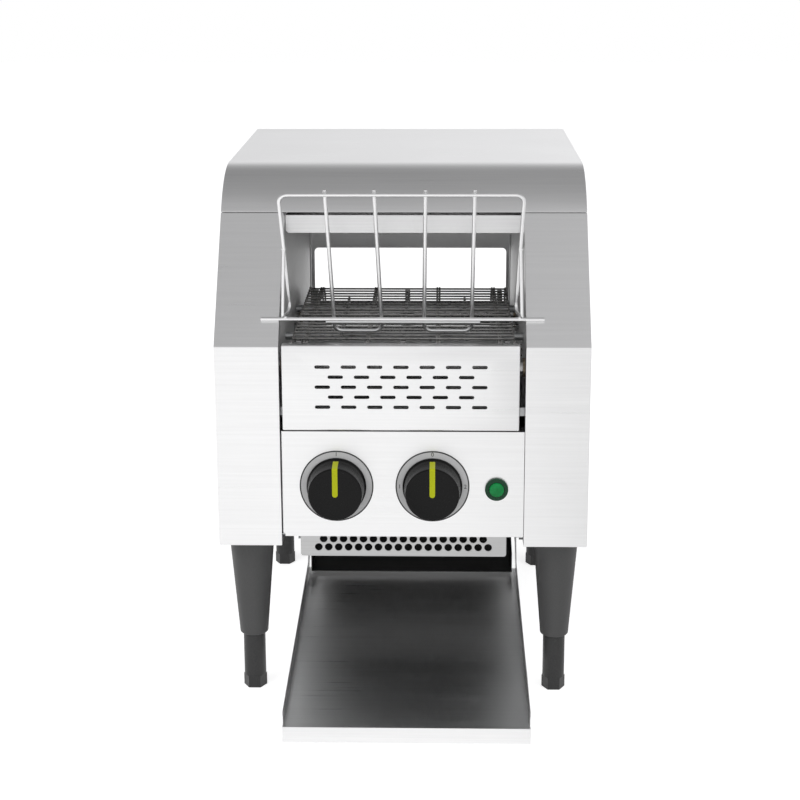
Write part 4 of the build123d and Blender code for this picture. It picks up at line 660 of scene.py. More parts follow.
closed = punch.join(drawn.outputs["Mesh"], back_face.outputs[0])
welded = punch.node("GeometryNodeMergeByDistance", {"Geometry": closed, "Distance": WELD_CUTTER})
stood_cutter = punch.node("GeometryNodeTransform", {"Geometry": welded.outputs[0], "Rotation": UPRIGHT})
half_depth = punch.node("ShaderNodeCombineXYZ", {
    "Y": punch.math("MULTIPLY", punch.value("Cutter Depth"), 0.5),
})
cutter = punch.node("GeometryNodeTransform", {
    "Geometry": stood_cutter.outputs[0], "Translation": half_depth.outputs[0],
})
print("cutter", len(punch.group.nodes), "nodes")

# %% The field of the punching tree


def punch_rows(columns, rows):
    """A level grid of cutters: columns at the pitch, rows at twice the row pitch."""
    width = punch.math("MULTIPLY", punch.math("SUBTRACT", columns, 1.0), punch.value("Pitch"))
    depth = punch.math("MULTIPLY", punch.math("SUBTRACT", rows, 1.0), punch.value("Row Pitch"))
    grid = punch.node("GeometryNodeMeshGrid", {
        "Size X": width, "Size Y": punch.math("MULTIPLY", depth, 2.0),
        "Vertices X": columns, "Vertices Y": rows,
    })
    stood = punch.node("GeometryNodeTransform", {
        "Geometry": grid.outputs[0], "Rotation": UPRIGHT, "Translation": punch.value("Centre"),
    })
    return punch.node("GeometryNodeInstanceOnPoints", {
        "Points": stood.outputs[0], "Instance": cutter.outputs[0],
    }).outputs[0]


long_rows = punch_rows(punch.value("Columns"), punch.value("Long Rows"))
one_less = punch.math("SUBTRACT", punch.value("Columns"), 1.0)
short_rows = punch_rows(one_less, punch.value("Short Rows"))
cutters = punch.node("GeometryNodeRealizeInstances", {"Geometry": punch.join(long_rows, short_rows)})
punched = punch.node("GeometryNodeMeshBoolean", {
    "Mesh 1": punch.value("Geometry"), "Mesh 2": cutters.outputs[0],
}, operation="DIFFERENCE")
punch.finish(punched.outputs[0])
print("punching tree", len(punch.group.nodes), "nodes")

# %% Folded pan helper
NEAR = 0.01 * MM


def folded_pan(name, low, high, sheet, fold, open_sides=(), corner=0.0):
    """A shallow pan of sheet, open at the back, with rounded folds and, where asked, round lower corners."""
    x0, y0, z0 = low
    x1, y1, z1 = high
    work = bmesh.new()
    ring = ((x0, z0), (x1, z0), (x1, z1), (x0, z1))
    corners = [work.verts.new(at(x, y, z)) for y in (y0, y1) for x, z in ring]
    work.faces.new(corners[:4])
    walls = {"bottom": (0, 1), "right": (1, 2), "top": (2, 3), "left": (3, 0)}
    for side, (a, b) in walls.items():
        if side not in open_sides:
            work.faces.new((corners[b], corners[a], corners[a + 4], corners[b + 4]))
    bmesh.ops.delete(work, geom=[v for v in work.verts if not v.link_faces], context="VERTS")
    folds = [e for e in work.edges if len(e.link_faces) == 2]
    bmesh.ops.bevel(
        work, geom=folds, offset=fold * MM, segments=4, profile=0.5, affect="EDGES", clamp_overlap=True
    )
    if corner:
        foot = at(0, 0, z0).z
        low_corners = [v for v in work.verts if len(v.link_faces) == 1 and abs(v.co.z - foot) < NEAR]
        bmesh.ops.bevel(
            work, geom=low_corners, offset=corner * MM, segments=3, profile=0.5, affect="VERTICES"
        )
    bmesh.ops.recalc_face_normals(work, faces=work.faces)
    front_faces = [f for f in work.faces if f.calc_center_median().y < at(0, y0, 0).y + NEAR]
    if front_faces and front_faces[0].normal.y > 0:
        bmesh.ops.reverse_faces(work, faces=work.faces)
    pan = link_piece(name, mesh_of(work, name))
    wall = pan.modifiers.new("sheet", "SOLIDIFY")
    wall.thickness = sheet * MM
    wall.offset = -1
    wall.use_even_offset = True
    return settle(pan)


GUARD_LOW, GUARD_HIGH = (-92.5, 0, 94.3), (90.0, 8.0, 162.0)
guard_blank = folded_pan("guard_blank", GUARD_LOW, GUARD_HIGH, sheet=1.0, fold=1.1)
print("guard blank", len(guard_blank.data.polygons), "faces")

# %% Slotted front guard
slotted_guard = grow(
    guard_blank, punch, "slotted_guard_punched",
    Columns=7, Long_Rows=3, Short_Rows=2, Pitch=20.1 * MM, Row_Pitch=7.95 * MM,
    Hole_Length=11.9 * MM, Hole_Height=2.7 * MM, Cutter_Depth=6 * MM, Centre=at(-0.9, 0.5, 129.1),
    Finish=FINISH["stainless"],
)
smooth(slotted_guard.data)
keep(slotted_guard, "slotted_front_guard", dressed=True)
print("slotted guard", len(slotted_guard.data.polygons), "faces")

# %% Perforated air guard
STRIP_LOW, STRIP_HIGH = (-82, 24, -17.5), (82, 39, 9)
strip_blank = folded_pan(
    "strip_blank", STRIP_LOW, STRIP_HIGH, sheet=1.0, fold=1.0,
    open_sides=("bottom", "left", "right"), corner=2.0,
)
# The strip takes the darker grey of painted shade.
strip = grow(
    strip_blank, punch, "air_guard_punched",
    Columns=18, Long_Rows=2, Short_Rows=1, Pitch=7.95 * MM, Row_Pitch=6.9 * MM,
    Hole_Length=6.2 * MM, Hole_Height=6.2 * MM, Cutter_Depth=6 * MM, Centre=at(0, 24.5, -3.1),
    Finish=STRIP_PAINTED_SHADE,
)
smooth(strip.data)
keep(strip, "perforated_air_guard", dressed=True)
print("air guard", len(strip.data.polygons), "faces")

# %% [markdown]
# ## Conveyor belt
# Each link is one wire that runs across, turns back near both edges and hooks round the next wire, with four
# pairs of small hooks between. Bending one link and repeating it is enough, because the belt is evenly
# pitched. The tree takes the 50 hinge points as a mesh, reads the angle stored on each, and puts a swept link
# there.

# %% Wire tree
bend = Tree("bent_wire", [
    ("Diameter", "Float", 0.003), ("Bend Radius", "Float", 0.004), ("Bend Steps", "Int", 8),
    ("Sides", "Int", 12), ("Finish", "Material", None),
])
corner = bend.node("GeometryNodeFilletCurve", {
    "Curve": bend.value("Geometry"), "Radius": bend.value("Bend Radius"), "Count": bend.value("Bend Steps"),
    "Limit Radius": True,
}, mode="POLY")
ring = bend.node("GeometryNodeCurvePrimitiveCircle", {
    "Resolution": bend.value("Sides"), "Radius": bend.math("MULTIPLY", bend.value("Diameter"), 0.5),
})
swept = bend.node("GeometryNodeCurveToMesh", {
    "Curve": corner.outputs[0], "Profile Curve": ring.outputs[0], "Fill Caps": True,
})
bend.finish(swept.outputs[0])


def poly_lines(name, runs):
    """A curve object with one straight-sided spline for each list of points in metres."""
    data = bpy.data.curves.new(name, "CURVE")
    data.dimensions = "3D"
    for run in runs:
        spline = data.splines.new("POLY")
        spline.points.add(len(run) - 1)
        for point, place in zip(spline.points, run):
            point.co = (*place, 1)
    return link_piece(name, data)


def bent_wires(name, runs, diameter, radius, finish, steps=8, sides=12):
    """Wires of one diameter and bend radius, swept along straight runs given in metres."""
    made = grow(
        poly_lines(name + "_line", runs), bend, name, Diameter=diameter * MM,
        Bend_Radius=radius * MM, Bend_Steps=steps, Sides=sides, Finish=finish,
    )
    smooth(made.data, 50)
    return made


print("wire tree", len(bend.group.nodes), "nodes")

# %% One belt link
BELT_HALF = 88.0
BELT_WIRE = 1.6
BELT_PITCH = 10.2
HOOK = 1.62
HOOK_STEP = 42
LEVEL_END = 1.9
DIP_START, DIP_END, DIP = 2.6, 0.7, 0.8
EDGE_HOOK = BELT_HALF - BELT_WIRE
SMALL_HOOKS = (EDGE_HOOK - 11.0, 27.3)
HOOK_PAIR = 1.0


def hook_points(x):
    """Points in millimetres of a leg at x: from its own wire back, under the next wire and up behind it."""
    leg = [
        (x, 0.0, 0.0), (x, LEVEL_END, 0.0),
        (x, BELT_PITCH - DIP_START, -DIP), (x, BELT_PITCH - DIP_END, -HOOK),
    ]
    for step in range(1, 4):
        angle = radians(step * HOOK_STEP - 90)
        leg.append((x, BELT_PITCH + HOOK * cos(angle), HOOK * sin(angle)))
    return leg


main_wire = list(reversed(hook_points(EDGE_HOOK))) + hook_points(-EDGE_HOOK)
small_hooks = [
    hook_points(side * x + apart)
    for side in (-1, 1) for x in SMALL_HOOKS for apart in (-HOOK_PAIR, HOOK_PAIR)
]
link_wires = [[Vector(p) * MM for p in run] for run in [main_wire] + small_hooks]
belt_link = bent_wires("belt_link", link_wires, BELT_WIRE, 0.9, FINISH["belt_wire"], steps=2, sides=6)
print("one link", len(belt_link.data.polygons), "faces")

# %% Belt tree
belt_row = Tree("belt_links", [("Link", "Object", None), ("Finish", "Material", None)])
angle_of = belt_row.node("GeometryNodeInputNamedAttribute", {"Name": "turn"}, data_type="FLOAT")
turning = belt_row.node("ShaderNodeCombineXYZ", {"X": angle_of.outputs[0]})
shape = belt_row.node("GeometryNodeObjectInfo", {"Object": belt_row.value("Link")})
placed = belt_row.node("GeometryNodeInstanceOnPoints", {
    "Points": belt_row.value("Geometry"), "Instance": shape.outputs["Geometry"],
    "Rotation": turning.outputs[0],
})
belt_row.finish(placed.outputs[0])
print("belt tree", len(belt_row.group.nodes), "nodes")

# %% The belt on its wheels
BELT_TOP = 160.0
BELT_FRONT = 10.0
NOTCHES = 14
RUN = 18
WRAP_R = BELT_PITCH / (2 * sin(pi / NOTCHES))
AXIS_Z = BELT_TOP - BELT_WIRE / 2 - WRAP_R
IDLER_Y = BELT_FRONT + BELT_WIRE / 2 + WRAP_R
DRIVE_Y = IDLER_Y + RUN * BELT_PITCH
stations = []
for way, run_start, wheel_y in ((1, IDLER_Y, DRIVE_Y), (-1, DRIVE_Y, IDLER_Y)):
    stations += [(run_start + way * step * BELT_PITCH, AXIS_Z + way * WRAP_R) for step in range(RUN)]
    for step in range(NOTCHES // 2):
        around = way * pi / 2 - step * 2 * pi / NOTCHES
        stations.append((wheel_y + WRAP_R * cos(around), AXIS_Z + WRAP_R * sin(around)))
hinges = bpy.data.meshes.new("belt_hinges")
hinges.from_pydata([at(0, y, z) for y, z in stations], [], [])
turns = [
    atan2(next_z - z, next_y - y) for (y, z), (next_y, next_z) in zip(stations, stations[1:] + stations[:1])
]
hinges.attributes.new("turn", "FLOAT", "POINT").data.foreach_set("value", turns)
belt = grow(
    link_piece("belt_hinges", hinges), belt_row, "wire_belt", Link=belt_link, Finish=FINISH["belt_wire"]
)
bpy.data.objects.remove(belt_link)
smooth(belt.data, 50)
keep(belt, "conveyor_belt", dressed=True)
print("belt", len(stations), "links,", len(belt.data.polygons), "faces")

# %% [markdown]
# ## Feed rack
# The bread slides down a rack of bright wire: a leaning frame with two feet, two thinner side wires, two U
# guides, a tie bar and the long cross bar by which it hangs. All are bent from straight runs, so each is a
# poly line with filleted corners. Resistance welds leave a small bead at each crossing, made here as squashed
# spheres.

# %% The rack's planes
SLOPE_LOW_Z = 160.5
SLOPE_TOP = (66.0, 253.0)
SLOPE = atan2(SLOPE_TOP[1] - SLOPE_LOW_Z, SLOPE_TOP[0])
RACK_TOP = (-11.0, 279.5)
GUIDE_BOTTOM = (36.4, 163.6)
GUIDE_RUN = hypot(GUIDE_BOTTOM[0] - RACK_TOP[0], GUIDE_BOTTOM[1] - RACK_TOP[1])
WIRE = 3.0
BAR_GAP = 0.3
CROSS_Z = 180.0
CROSS_Y = (CROSS_Z - SLOPE_LOW_Z) * cos(SLOPE) / sin(SLOPE) - (WIRE / 2 + BAR_GAP) / sin(SLOPE)
FOOT = (CROSS_Y - 6.5, CROSS_Z + 2.6)


def on_guides(x, share, lap=0.0):
    """A point on the guides' leaning plane, from the top bar (0) to the lower bend (1)."""
    run_y = GUIDE_BOTTOM[0] - RACK_TOP[0]
    run_z = GUIDE_BOTTOM[1] - RACK_TOP[1]
    y = RACK_TOP[0] + run_y * share - lap * run_z / GUIDE_RUN
    z = RACK_TOP[1] + run_z * share + lap * run_y / GUIDE_RUN
    return at(x, y, z)


print("guides", round(GUIDE_RUN, 1), "mm long, cross bar at y", round(CROSS_Y, 2))

# %% Rack wires
HALF = 91.0
LOW_HALF = 87.0
BRACE_SHARE = 0.38
BRACE_HALF = HALF - 4.0 * BRACE_SHARE
TIE_HALF = 60
TIE_SHARE = 0.92
CROSS_HALF = 108.5
GUIDE_LAP = 2.6
TOPS = (-56.8, -20.2, 17.9, 54.3)
BOTTOMS = (-53.4, -16.4, 16.4, 53.4)
OVERHANG = 3.0 / (RACK_TOP[1] - GUIDE_BOTTOM[1])
low_share = (RACK_TOP[1] - FOOT[1]) / (RACK_TOP[1] - GUIDE_BOTTOM[1])
frame_sides = {}
braces = []
for side in (-1, 1):
    front_end = at(side * HALF, FOOT[0] + 4.0, FOOT[1])
    frame_sides[side] = [front_end, on_guides(side * LOW_HALF, low_share), at(side * HALF, *RACK_TOP)]
    upper = on_guides(side * BRACE_HALF, BRACE_SHARE)
    braces.append([upper, at(side * HALF, *FOOT), at(side * HALF, FOOT[0] + 7.0, FOOT[1])])
guides = [
    [
        on_guides(TOPS[first], -OVERHANG, GUIDE_LAP), on_guides(BOTTOMS[first], 1, GUIDE_LAP),
        on_guides(BOTTOMS[first + 1], 1, GUIDE_LAP), on_guides(TOPS[first + 1], -OVERHANG, GUIDE_LAP),
    ]
    for first in (0, 2)
]
bars = [
    [on_guides(-TIE_HALF, TIE_SHARE), on_guides(TIE_HALF, TIE_SHARE)],
    [at(-CROSS_HALF, CROSS_Y, CROSS_Z), at(CROSS_HALF, CROSS_Y, CROSS_Z)],
]
CHROME = FINISH["chrome_wire"]
rack_parts = [
    bent_wires("rack_frame_wire", [frame_sides[-1] + frame_sides[1][::-1]], WIRE, 6.5, CHROME, steps=10),
    bent_wires("rack_side_wires", braces, 2.6, 4.0, CHROME),
    bent_wires("rack_guides", guides, WIRE, 6.0, CHROME),
    bent_wires("rack_bars", bars, WIRE, 1.0, CHROME),
]
print("rack wires", sum(len(part.data.polygons) for part in rack_parts), "faces")

# %% Weld beads and the joined rack


def bead(work, place, radius):
    """A squashed ball of weld metal."""
    made = bmesh.ops.create_icosphere(work, subdivisions=2, radius=radius * MM)
    for vertex in made["verts"]:
        vertex.co = Vector((vertex.co.x * 1.25, vertex.co.y, vertex.co.z * 0.8)) + place


def share_x(index, share):
    """Where a guide wire is across the rack at a share of its run."""
    return TOPS[index] + (BOTTOMS[index] - TOPS[index]) * share


welds = bmesh.new()
for index in range(4):
    bead(welds, on_guides(TOPS[index], 0, 1.4), 1.5)
    bead(welds, on_guides(share_x(index, TIE_SHARE), TIE_SHARE, 1.4), 1.5)
for side in (-1, 1):
    bead(welds, at(side * (HALF - 1.0), CROSS_Y, CROSS_Z + 1.3), 1.6)
    bead(welds, on_guides(side * BRACE_HALF, BRACE_SHARE), 1.7)
weld_mesh = mesh_of(welds, "weld_beads")
weld_mesh.shade_smooth()
joined = bmesh.new()
for mesh in [part.data for part in rack_parts] + [weld_mesh]:
    joined.from_mesh(mesh)
rack_mesh = mesh_of(joined, "bread_rack_wires")
for part in rack_parts:
    bpy.data.objects.remove(part)
smooth(rack_mesh, 50)
keep(link_piece("bread_rack_wires", rack_mesh), "feed_rack")

# %% [markdown]
# ## Turned pieces
# Knobs, legs, screw heads and the lamp's lens are bodies of revolution. Blender can make them with a Screw
# modifier or with Spin. Here the profile is written as radius and height, and Spin sweeps it, because the
# profile then reads like a turner's drawing.

# %% Spin helper


def turned(name, profile, centre, axis, steps=64):
    """A solid turned from (radius, distance along the axis) in millimetres, outwards from its centre."""
    work = bmesh.new()
    direction = Vector(axis)
    side = direction.orthogonal().normalized()
    line = [work.verts.new(centre + direction * d * MM + side * r * MM) for r, d in profile]
    edges = [work.edges.new(pair) for pair in zip(line, line[1:])]
    bmesh.ops.spin(
        work, geom=line + edges, cent=centre, axis=direction, angle=2 * pi, steps=steps, use_duplicate=False
    )
    bmesh.ops.remove_doubles(work, verts=work.verts, dist=0.003 * MM)
    bmesh.ops.recalc_face_normals(work, faces=work.faces)
    mesh = mesh_of(work, name)
    smooth(mesh, 35)
    return link_piece(name, mesh)


def arc(centre_r, centre_d, radius, start, end, steps=5):
    """Profile points on a quarter or other part of a circle, angles in degrees."""
    points = []
    for step in range(steps + 1):
        angle = radians(start + (end - start) * step / steps)
        points.append((centre_r + radius * cos(angle), centre_d + radius * sin(angle)))
    return points


print("arc check", arc(0, 0, 1, 0, 90, 1))

# %% Knobs
FORWARD = (0, -1, 0)
DIAL_Z = 49.6
KNOB_X = {"speed": -51.2, "mode": 23.3}
KNOB_BACK = 1.0
KNOB_FACE = 22.0
SPINDLE_R = 3.05
SKIRT_BORE_R = 21.8
TOP_R = 20.95
SHOULDER = 2.6
EDGE_R = 19.5
EDGE_ROUND = 1.3
RIM_R = 17.9
DISH = 0.35
knob_profile = [
    (SPINDLE_R, KNOB_BACK + 5), (SPINDLE_R, KNOB_BACK + 0.9),
    (SKIRT_BORE_R, KNOB_BACK + 0.9), (SKIRT_BORE_R, KNOB_BACK),
]
knob_profile += arc(22.7, KNOB_BACK + 0.5, 0.5, -90, 0, 4)
knob_profile += arc(22.4, KNOB_BACK + 1.6, 0.8, 0, 60, 3)
knob_profile += [(22.1, KNOB_BACK + 2.9), (21.9, KNOB_BACK + 3.6), (TOP_R, KNOB_FACE - SHOULDER)]
knob_profile += arc(EDGE_R, KNOB_FACE - EDGE_ROUND, EDGE_ROUND, 12, 90, 6)
knob_profile += [(18.6, KNOB_FACE - 0.02), (RIM_R, KNOB_FACE - 0.22), (0, KNOB_FACE - DISH)]
for name, x in KNOB_X.items():
    knob = turned(name + "_knob_turned", knob_profile, at(x, 0, DIAL_Z), FORWARD, 96)
    keep(knob, name + "_knob")
    print(name, "knob", len(knob.data.polygons), "faces")

# %% [markdown]
# ### Pointers
# Each knob carries a coloured bar, moulded into its side and face, that shows which way it is turned. It could
# be painted on, but a real inlay stands out by a hair and catches its own light. Its middle line is the knob's
# own profile, moved out by that hair, and a Solidify modifier gives it thickness.

# %% Pointers
PROUD = 0.18
POINTER_HALF = 2.1
POINTER_START = (21.77, 6.6)
POINTER_SINK = 0.6


def pointer_strip(name, x):
    """A yellow-green bar that runs up the knob's side, over its edge and down its face to the middle."""
    line = [(POINTER_START[0] + PROUD, POINTER_START[1]), (TOP_R + PROUD, KNOB_FACE - SHOULDER)]
    line += arc(EDGE_R, KNOB_FACE - EDGE_ROUND, EDGE_ROUND + PROUD, 12, 90, 6)
    line += [(RIM_R, KNOB_FACE - 0.2 + PROUD), (0, KNOB_FACE - DISH + PROUD)]
    work = bmesh.new()
    pairs = [
        [work.verts.new(at(x + side * POINTER_HALF, -d, DIAL_Z + r)) for side in (-1, 1)] for r, d in line
    ]
    for (a, b), (c, d) in zip(pairs, pairs[1:]):
        work.faces.new((a, b, d, c))
    tip_y = -(KNOB_FACE - DISH + PROUD)
    tip = [
        work.verts.new(at(
            x + POINTER_HALF * cos(radians(step)), tip_y, DIAL_Z - POINTER_HALF * sin(radians(step)),
        ))
        for step in range(15, 180, 15)
    ]
    work.faces.new(pairs[-1] + tip)
    bmesh.ops.recalc_face_normals(work, faces=work.faces)
    if work.faces[:][-1].normal.y > 0:
        bmesh.ops.reverse_faces(work, faces=work.faces)
    strip = link_piece(name, mesh_of(work, name))
    inlay = strip.modifiers.new("inlay", "SOLIDIFY")
    inlay.thickness = POINTER_SINK * MM
    inlay.offset = -1
    settle(strip)
    smooth(strip.data, 40)
    return strip


for name, x in KNOB_X.items():
    bar = keep(pointer_strip(name + "_pointer_bar", x), name + "_pointer")
    print(name, "pointer", len(bar.data.polygons), "faces")

# %% [markdown]
# ## Dial plates
# Under each knob lies a thin printed disc: a pale grey band with a fine dark edge and small marks. Printing
# is only ink, but as thin raised shapes it stays sharp at any distance. The marks are plain digits.

# %% Dial discs and rings
INK = surface("dark_dial_ink", grey(0.02), grey(0.035), (0.4, 0.5), grain=900, depth=0.004)


def ring_band(work, centre, inner, outer, front, back, steps=96):
    """A flat ring facing forward, with thickness, added to a mesh being made."""
    around = [2 * pi * step / steps for step in range(steps)]
    loops = []
    for radius, y in ((inner, front), (outer, front), (outer, back), (inner, back)):
        loops.append([
            work.verts.new(centre + Vector((radius * cos(angle), y, radius * sin(angle))) * MM)
            for angle in around
        ])
    for a, b in zip(loops, loops[1:] + loops[:1]):
        for s in range(steps):
            n = (s + 1) % steps
            work.faces.new((a[s], a[n], b[n], b[s]))


def print_on_housing(piece):
    """Hang a printed mark on the housing, beside the dial plates."""
    piece.data.materials.clear()
    piece.data.materials.append(INK)
    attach(piece, "housing")


DIAL_R = 28.7
discs = bmesh.new()
rings = bmesh.new()
for x in KNOB_X.values():
    middle = at(x, 0, DIAL_Z)
    ring_band(discs, middle, 4.6, DIAL_R, -0.42, 0.0)
    ring_band(rings, middle, DIAL_R - 1.0, DIAL_R, -0.5, -0.40)
for name, work in (("dial_discs", discs), ("dial_edge_lines", rings)):
    bmesh.ops.recalc_face_normals(work, faces=work.faces)
    piece = link_piece(name, mesh_of(work, name))
    smooth(piece.data)
    if name == "dial_discs":
        keep(piece, "dial_plates")
    else:
        print_on_housing(piece)
    print(name, len(piece.data.polygons), "faces")

# %% Printed digits
DIGIT_HEIGHT = 3.4
SIZE_TO_HEIGHT = 1.38
DIGITS = (
    ("speed_digit", "1", KNOB_X["speed"], 75.3), ("mode_digit_a", "1", -2.2, 49.3),
    ("mode_digit_b", "0", KNOB_X["mode"], 75.3), ("mode_digit_c", "2", 48.8, 49.3),
)
for name, text, x, z in DIGITS:
    words = bpy.data.curves.new(name, "FONT")
    words.body = text
    words.size = DIGIT_HEIGHT * SIZE_TO_HEIGHT * MM
    words.align_x = "CENTER"
    words.align_y = "CENTER"
    words.extrude = 0.04 * MM
    words.resolution_u = 3
    writer = link_piece(name + "_text", words)
    mesh = evaluated_mesh(writer, name)
    bpy.data.objects.remove(writer)
    mesh.transform(Matrix.Translation(at(x, -0.46, z)) @ Matrix.Rotation(pi / 2, 4, "X"))
    print_on_housing(link_piece(name, mesh))
print("digits", len(DIGITS))

# %% [markdown]
# ### Pilot lamp
# A small green lens shows that the toaster is on. It is a shallow dome in a dark collar. The lens is turned
# from its profile, and the collar is the CAD's own shape with rolled edges, because it is a plain ring.

# %% Pilot lamp
LAMP = at(73.0, 0, 47.5)
lens_profile = [(0, 1.15), (5.75, 1.15), (5.75, 2.3)] + arc(4.75, 2.6, 1.0, 10, 80, 4)
lens_profile += [(3.2, 3.95), (1.6, 4.08), (0, 4.1)]
lens = keep(turned("lamp_lens_domed", lens_profile, LAMP, FORWARD, 48), "pilot_lens")
bezel = softened("pilot_bezel", 0.3)
print("lamp lens", len(lens.data.polygons), "faces, collar", len(bezel.data.polygons), "faces")

# %% [markdown]
# ### Legs
# A leg is a tapered plastic tube with a rounded lower end. Its wide bore takes the levelling foot's head and a
# narrower bore above it takes the foot's stud, both deep enough for the foot's whole travel. A cone would do
# for the outside, but the bores show from below, so one profile turns the outside and both bores at once.

# %% Legs
UP = (0, 0, 1)
LEG_X, LEG_Y = (-122.0, 122.0), (34.3, 309.0)
LEG_TOP_R, LEG_LOW_R, LEG_LENGTH = 18.25, 11.3, 86.5
TAPER = (LEG_TOP_R - LEG_LOW_R) / LEG_LENGTH
HEAD_BORE, HEAD_TOP = 9.15, -59.5
STUD_BORE, STUD_TOP = 5.10, -19.2
leg_profile = [(0, 0.0), (18.1, 0.0), (LEG_TOP_R, -0.3)]
leg_profile += [(LEG_TOP_R - TAPER * d, -d) for d in (20, 40, 60, 80)]
leg_profile += arc(10.2, -85.2, 1.25, 0, -90, 5)
leg_profile += [(9.5, -LEG_LENGTH), (9.2, -86.2), (HEAD_BORE, HEAD_TOP), (STUD_BORE, HEAD_TOP)]
leg_profile += [(STUD_BORE, STUD_TOP), (0, STUD_TOP)]
leg_work = bmesh.new()
for x in LEG_X:
    for y in LEG_Y:
        one = turned("leg", leg_profile, at(x, y, 0), UP, 64)
        leg_work.from_mesh(one.data)
        bpy.data.objects.remove(one)
bmesh.ops.recalc_face_normals(leg_work, faces=leg_work.faces)
leg_mesh = mesh_of(leg_work, "tapered_legs")
smooth(leg_mesh, 35)
keep(link_piece("tapered_legs", leg_mesh), "legs")
for node in ("front_left_foot", "front_right_foot", "rear_left_foot", "rear_right_foot"):
    softened(node, 0.6, angle=35, segments=3)
print("legs", len(leg_mesh.polygons), "faces")

# %% [markdown]
# ## Screws
# Six pan-head screws hold the back panel and two hold the gearbox. A real pan head is a low dome with a cross
# recess. One head is turned and cut, and a tree sets it on every screw's place, turned a little differently
# each time because nobody lines up their screws.

# %% Screw head
RECESS_LONG, RECESS_WIDE, RECESS_DEEP, RECESS_MIDDLE = 3.6, 0.8, 3.0, 2.5
head_profile = [(0, 0), (3.8, 0), (3.8, 0.9)] + arc(2.6, 0.9, 1.2, 10, 70, 4) + [(1.8, 2.3), (0, 2.4)]
head = turned("screw_head", head_profile, Vector((0, 0, 0)), UP, 24)
cross = bmesh.new()
for width, length in ((RECESS_LONG, RECESS_WIDE), (RECESS_WIDE, RECESS_LONG)):
    bar = bmesh.ops.create_cube(cross, size=1.0)
    for vertex in bar["verts"]:
        x, y, z = vertex.co
        vertex.co = Vector((x * width, y * length, z * RECESS_DEEP + RECESS_MIDDLE)) * MM
recess = link_piece("cross_recess", mesh_of(cross, "cross_recess"))
cut = head.modifiers.new("recess", "BOOLEAN")
cut.object = recess
cut.operation = "DIFFERENCE"
cut.solver = "EXACT"
cut.use_self = True
settle(head)
bpy.data.objects.remove(recess)
smooth(head.data, 30)
print("screw head", len(head.data.polygons), "faces")

# %% Screw tree
screw_row = Tree("set_screws", [
    ("Head", "Object", None), ("Tilt Range", "Float", pi), ("Seed", "Int", 11), ("Finish", "Material", None),
])
facing = screw_row.node("GeometryNodeInputNamedAttribute", {"Name": "facing"}, data_type="FLOAT_VECTOR")
aligned = screw_row.node("FunctionNodeAlignEulerToVector", {"Vector": facing.outputs[0]}, axis="Z")
chance = screw_row.node("FunctionNodeRandomValue", {
    "Min": 0.0, "Max": screw_row.value("Tilt Range"), "Seed": screw_row.value("Seed"),
}, data_type="FLOAT")
spun = screw_row.node("ShaderNodeCombineXYZ", {"Z": chance.outputs["Value"]})
head_shape = screw_row.node("GeometryNodeObjectInfo", {"Object": screw_row.value("Head")})
set_heads = screw_row.node("GeometryNodeInstanceOnPoints", {
    "Points": screw_row.value("Geometry"), "Instance": head_shape.outputs["Geometry"],
    "Rotation": aligned.outputs[0],
})
twisted = screw_row.node("GeometryNodeRotateInstances", {
    "Instances": set_heads.outputs[0], "Rotation": spun.outputs[0],
})
screw_row.finish(twisted.outputs[0])
print("screw tree", len(screw_row.group.nodes), "nodes")

# %% Set the screws
BACK_X, BACK_Y, BACK_Z = 94.5 + 12.5 / 2, 349.0, (15.0, 126.5, 238.0)
GEARBOX_X, GEARBOX_HALF = 110.2, 34.0
CHAIN_PITCH = 6.35
CHAIN_RUN = 12
SHAFT_TEETH, MOTOR_TEETH = 18, 12


def pitch_radius(teeth):
    """The radius at which a sprocket with this many teeth carries the chain."""
    return CHAIN_PITCH / (2 * sin(pi / teeth))


motor_z = AXIS_Z - hypot(CHAIN_RUN * CHAIN_PITCH, pitch_radius(SHAFT_TEETH) - pitch_radius(MOTOR_TEETH))
back_points = [(side * BACK_X, BACK_Y, z) for side in (-1, 1) for z in BACK_Z]
gearbox_points = [(GEARBOX_X, DRIVE_Y + side * GEARBOX_HALF, motor_z) for side in (-1, 1)]
spots = bpy.data.meshes.new("screw_places")
spots.from_pydata([at(*p) for p in back_points + gearbox_points], [], [])
normals = [0.0, 1.0, 0.0] * len(back_points) + [1.0, 0.0, 0.0] * len(gearbox_points)
spots.attributes.new("facing", "FLOAT_VECTOR", "POINT").data.foreach_set("vector", normals)
screws = grow(
    link_piece("screw_places", spots), screw_row, "cross_recess_screws", Head=head,
    Finish=FINISH["plated_steel"],
)
bpy.data.objects.remove(head)
keep(screws, "pan_head_screws", dressed=True)
print("screws", len(screws.data.polygons), "faces")

# %% [markdown]
# ## Heater wires
# Inside each quartz tube is a long tight coil of resistance wire. A spiral curve swept by a thin circle is
# the coil itself, so the tree makes one and sets it in all four tubes.

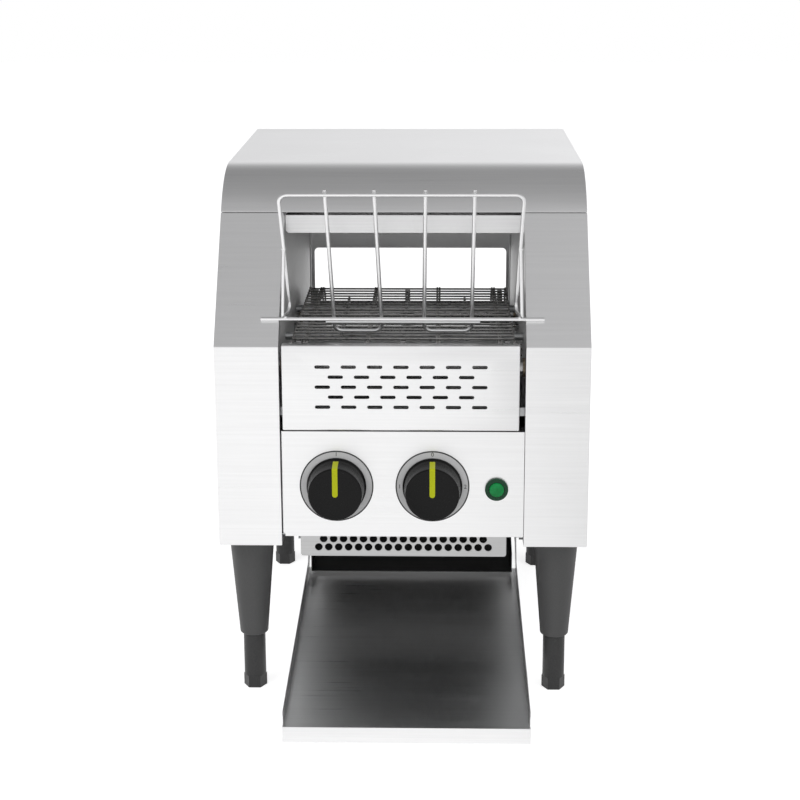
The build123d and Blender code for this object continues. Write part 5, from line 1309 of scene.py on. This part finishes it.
# %% Coil tree
coils = Tree("heater_coils", [
    ("Turns", "Float", 60.0), ("Coil Radius", "Float", 0.0013), ("Length", "Float", 0.18),
    ("Wire Radius", "Float", 0.00022), ("Finish", "Material", None),
])
spiral = coils.node("GeometryNodeCurveSpiral", {
    "Resolution": 10, "Rotations": coils.value("Turns"), "Start Radius": coils.value("Coil Radius"),
    "End Radius": coils.value("Coil Radius"), "Height": coils.value("Length"),
})
strand = coils.node("GeometryNodeCurvePrimitiveCircle", {
    "Resolution": 4, "Radius": coils.value("Wire Radius"),
})
wound = coils.node("GeometryNodeCurveToMesh", {
    "Curve": spiral.outputs[0], "Profile Curve": strand.outputs[0], "Fill Caps": True,
})
laid = coils.node("GeometryNodeTransform", {"Geometry": wound.outputs[0], "Rotation": (0, pi / 2, 0)})
in_tubes = coils.node("GeometryNodeInstanceOnPoints", {
    "Points": coils.value("Geometry"), "Instance": laid.outputs[0],
})
coils.finish(in_tubes.outputs[0])
print("coil tree", len(coils.group.nodes), "nodes")

# %% Coils in the four tubes
HEATER_PLACES = ((115.0, 237.5), (185.0, 237.5), (90.0, 136.0), (160.0, 136.0))
coil_low, coil_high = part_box("heater_filaments")
coil_length = coil_high.x - coil_low.x
starts = bpy.data.meshes.new("coil_starts")
starts.from_pydata([Vector((coil_low.x, *at(0, y, z).yz)) for y, z in HEATER_PLACES], [], [])
filaments = grow(
    link_piece("coil_starts", starts), coils, "wound_heater_wires", Length=coil_length,
    Turns=80.0, Finish=FINISH["filament"],
)
smooth(filaments.data, 60)
keep(filaments, "heater_filaments", dressed=True)
print("coils", len(filaments.data.polygons), "faces, length", round(coil_length, 4))

# %% [markdown]
# ## Everything else
# The shafts, wheels, motor, fan and electrical parts have the right shape in CAD. They keep their own meshes
# and take a finish from the same list.

# %% Finishes on the carried-over nodes
carried = 0
for node, part in frame["nodes"].items():
    if part.hide_render:
        continue
    for holder in part.material_slots:
        holder.material = FINISH[SLOT_OF[node]]
    carried += 1
print("carried over", carried, "nodes")
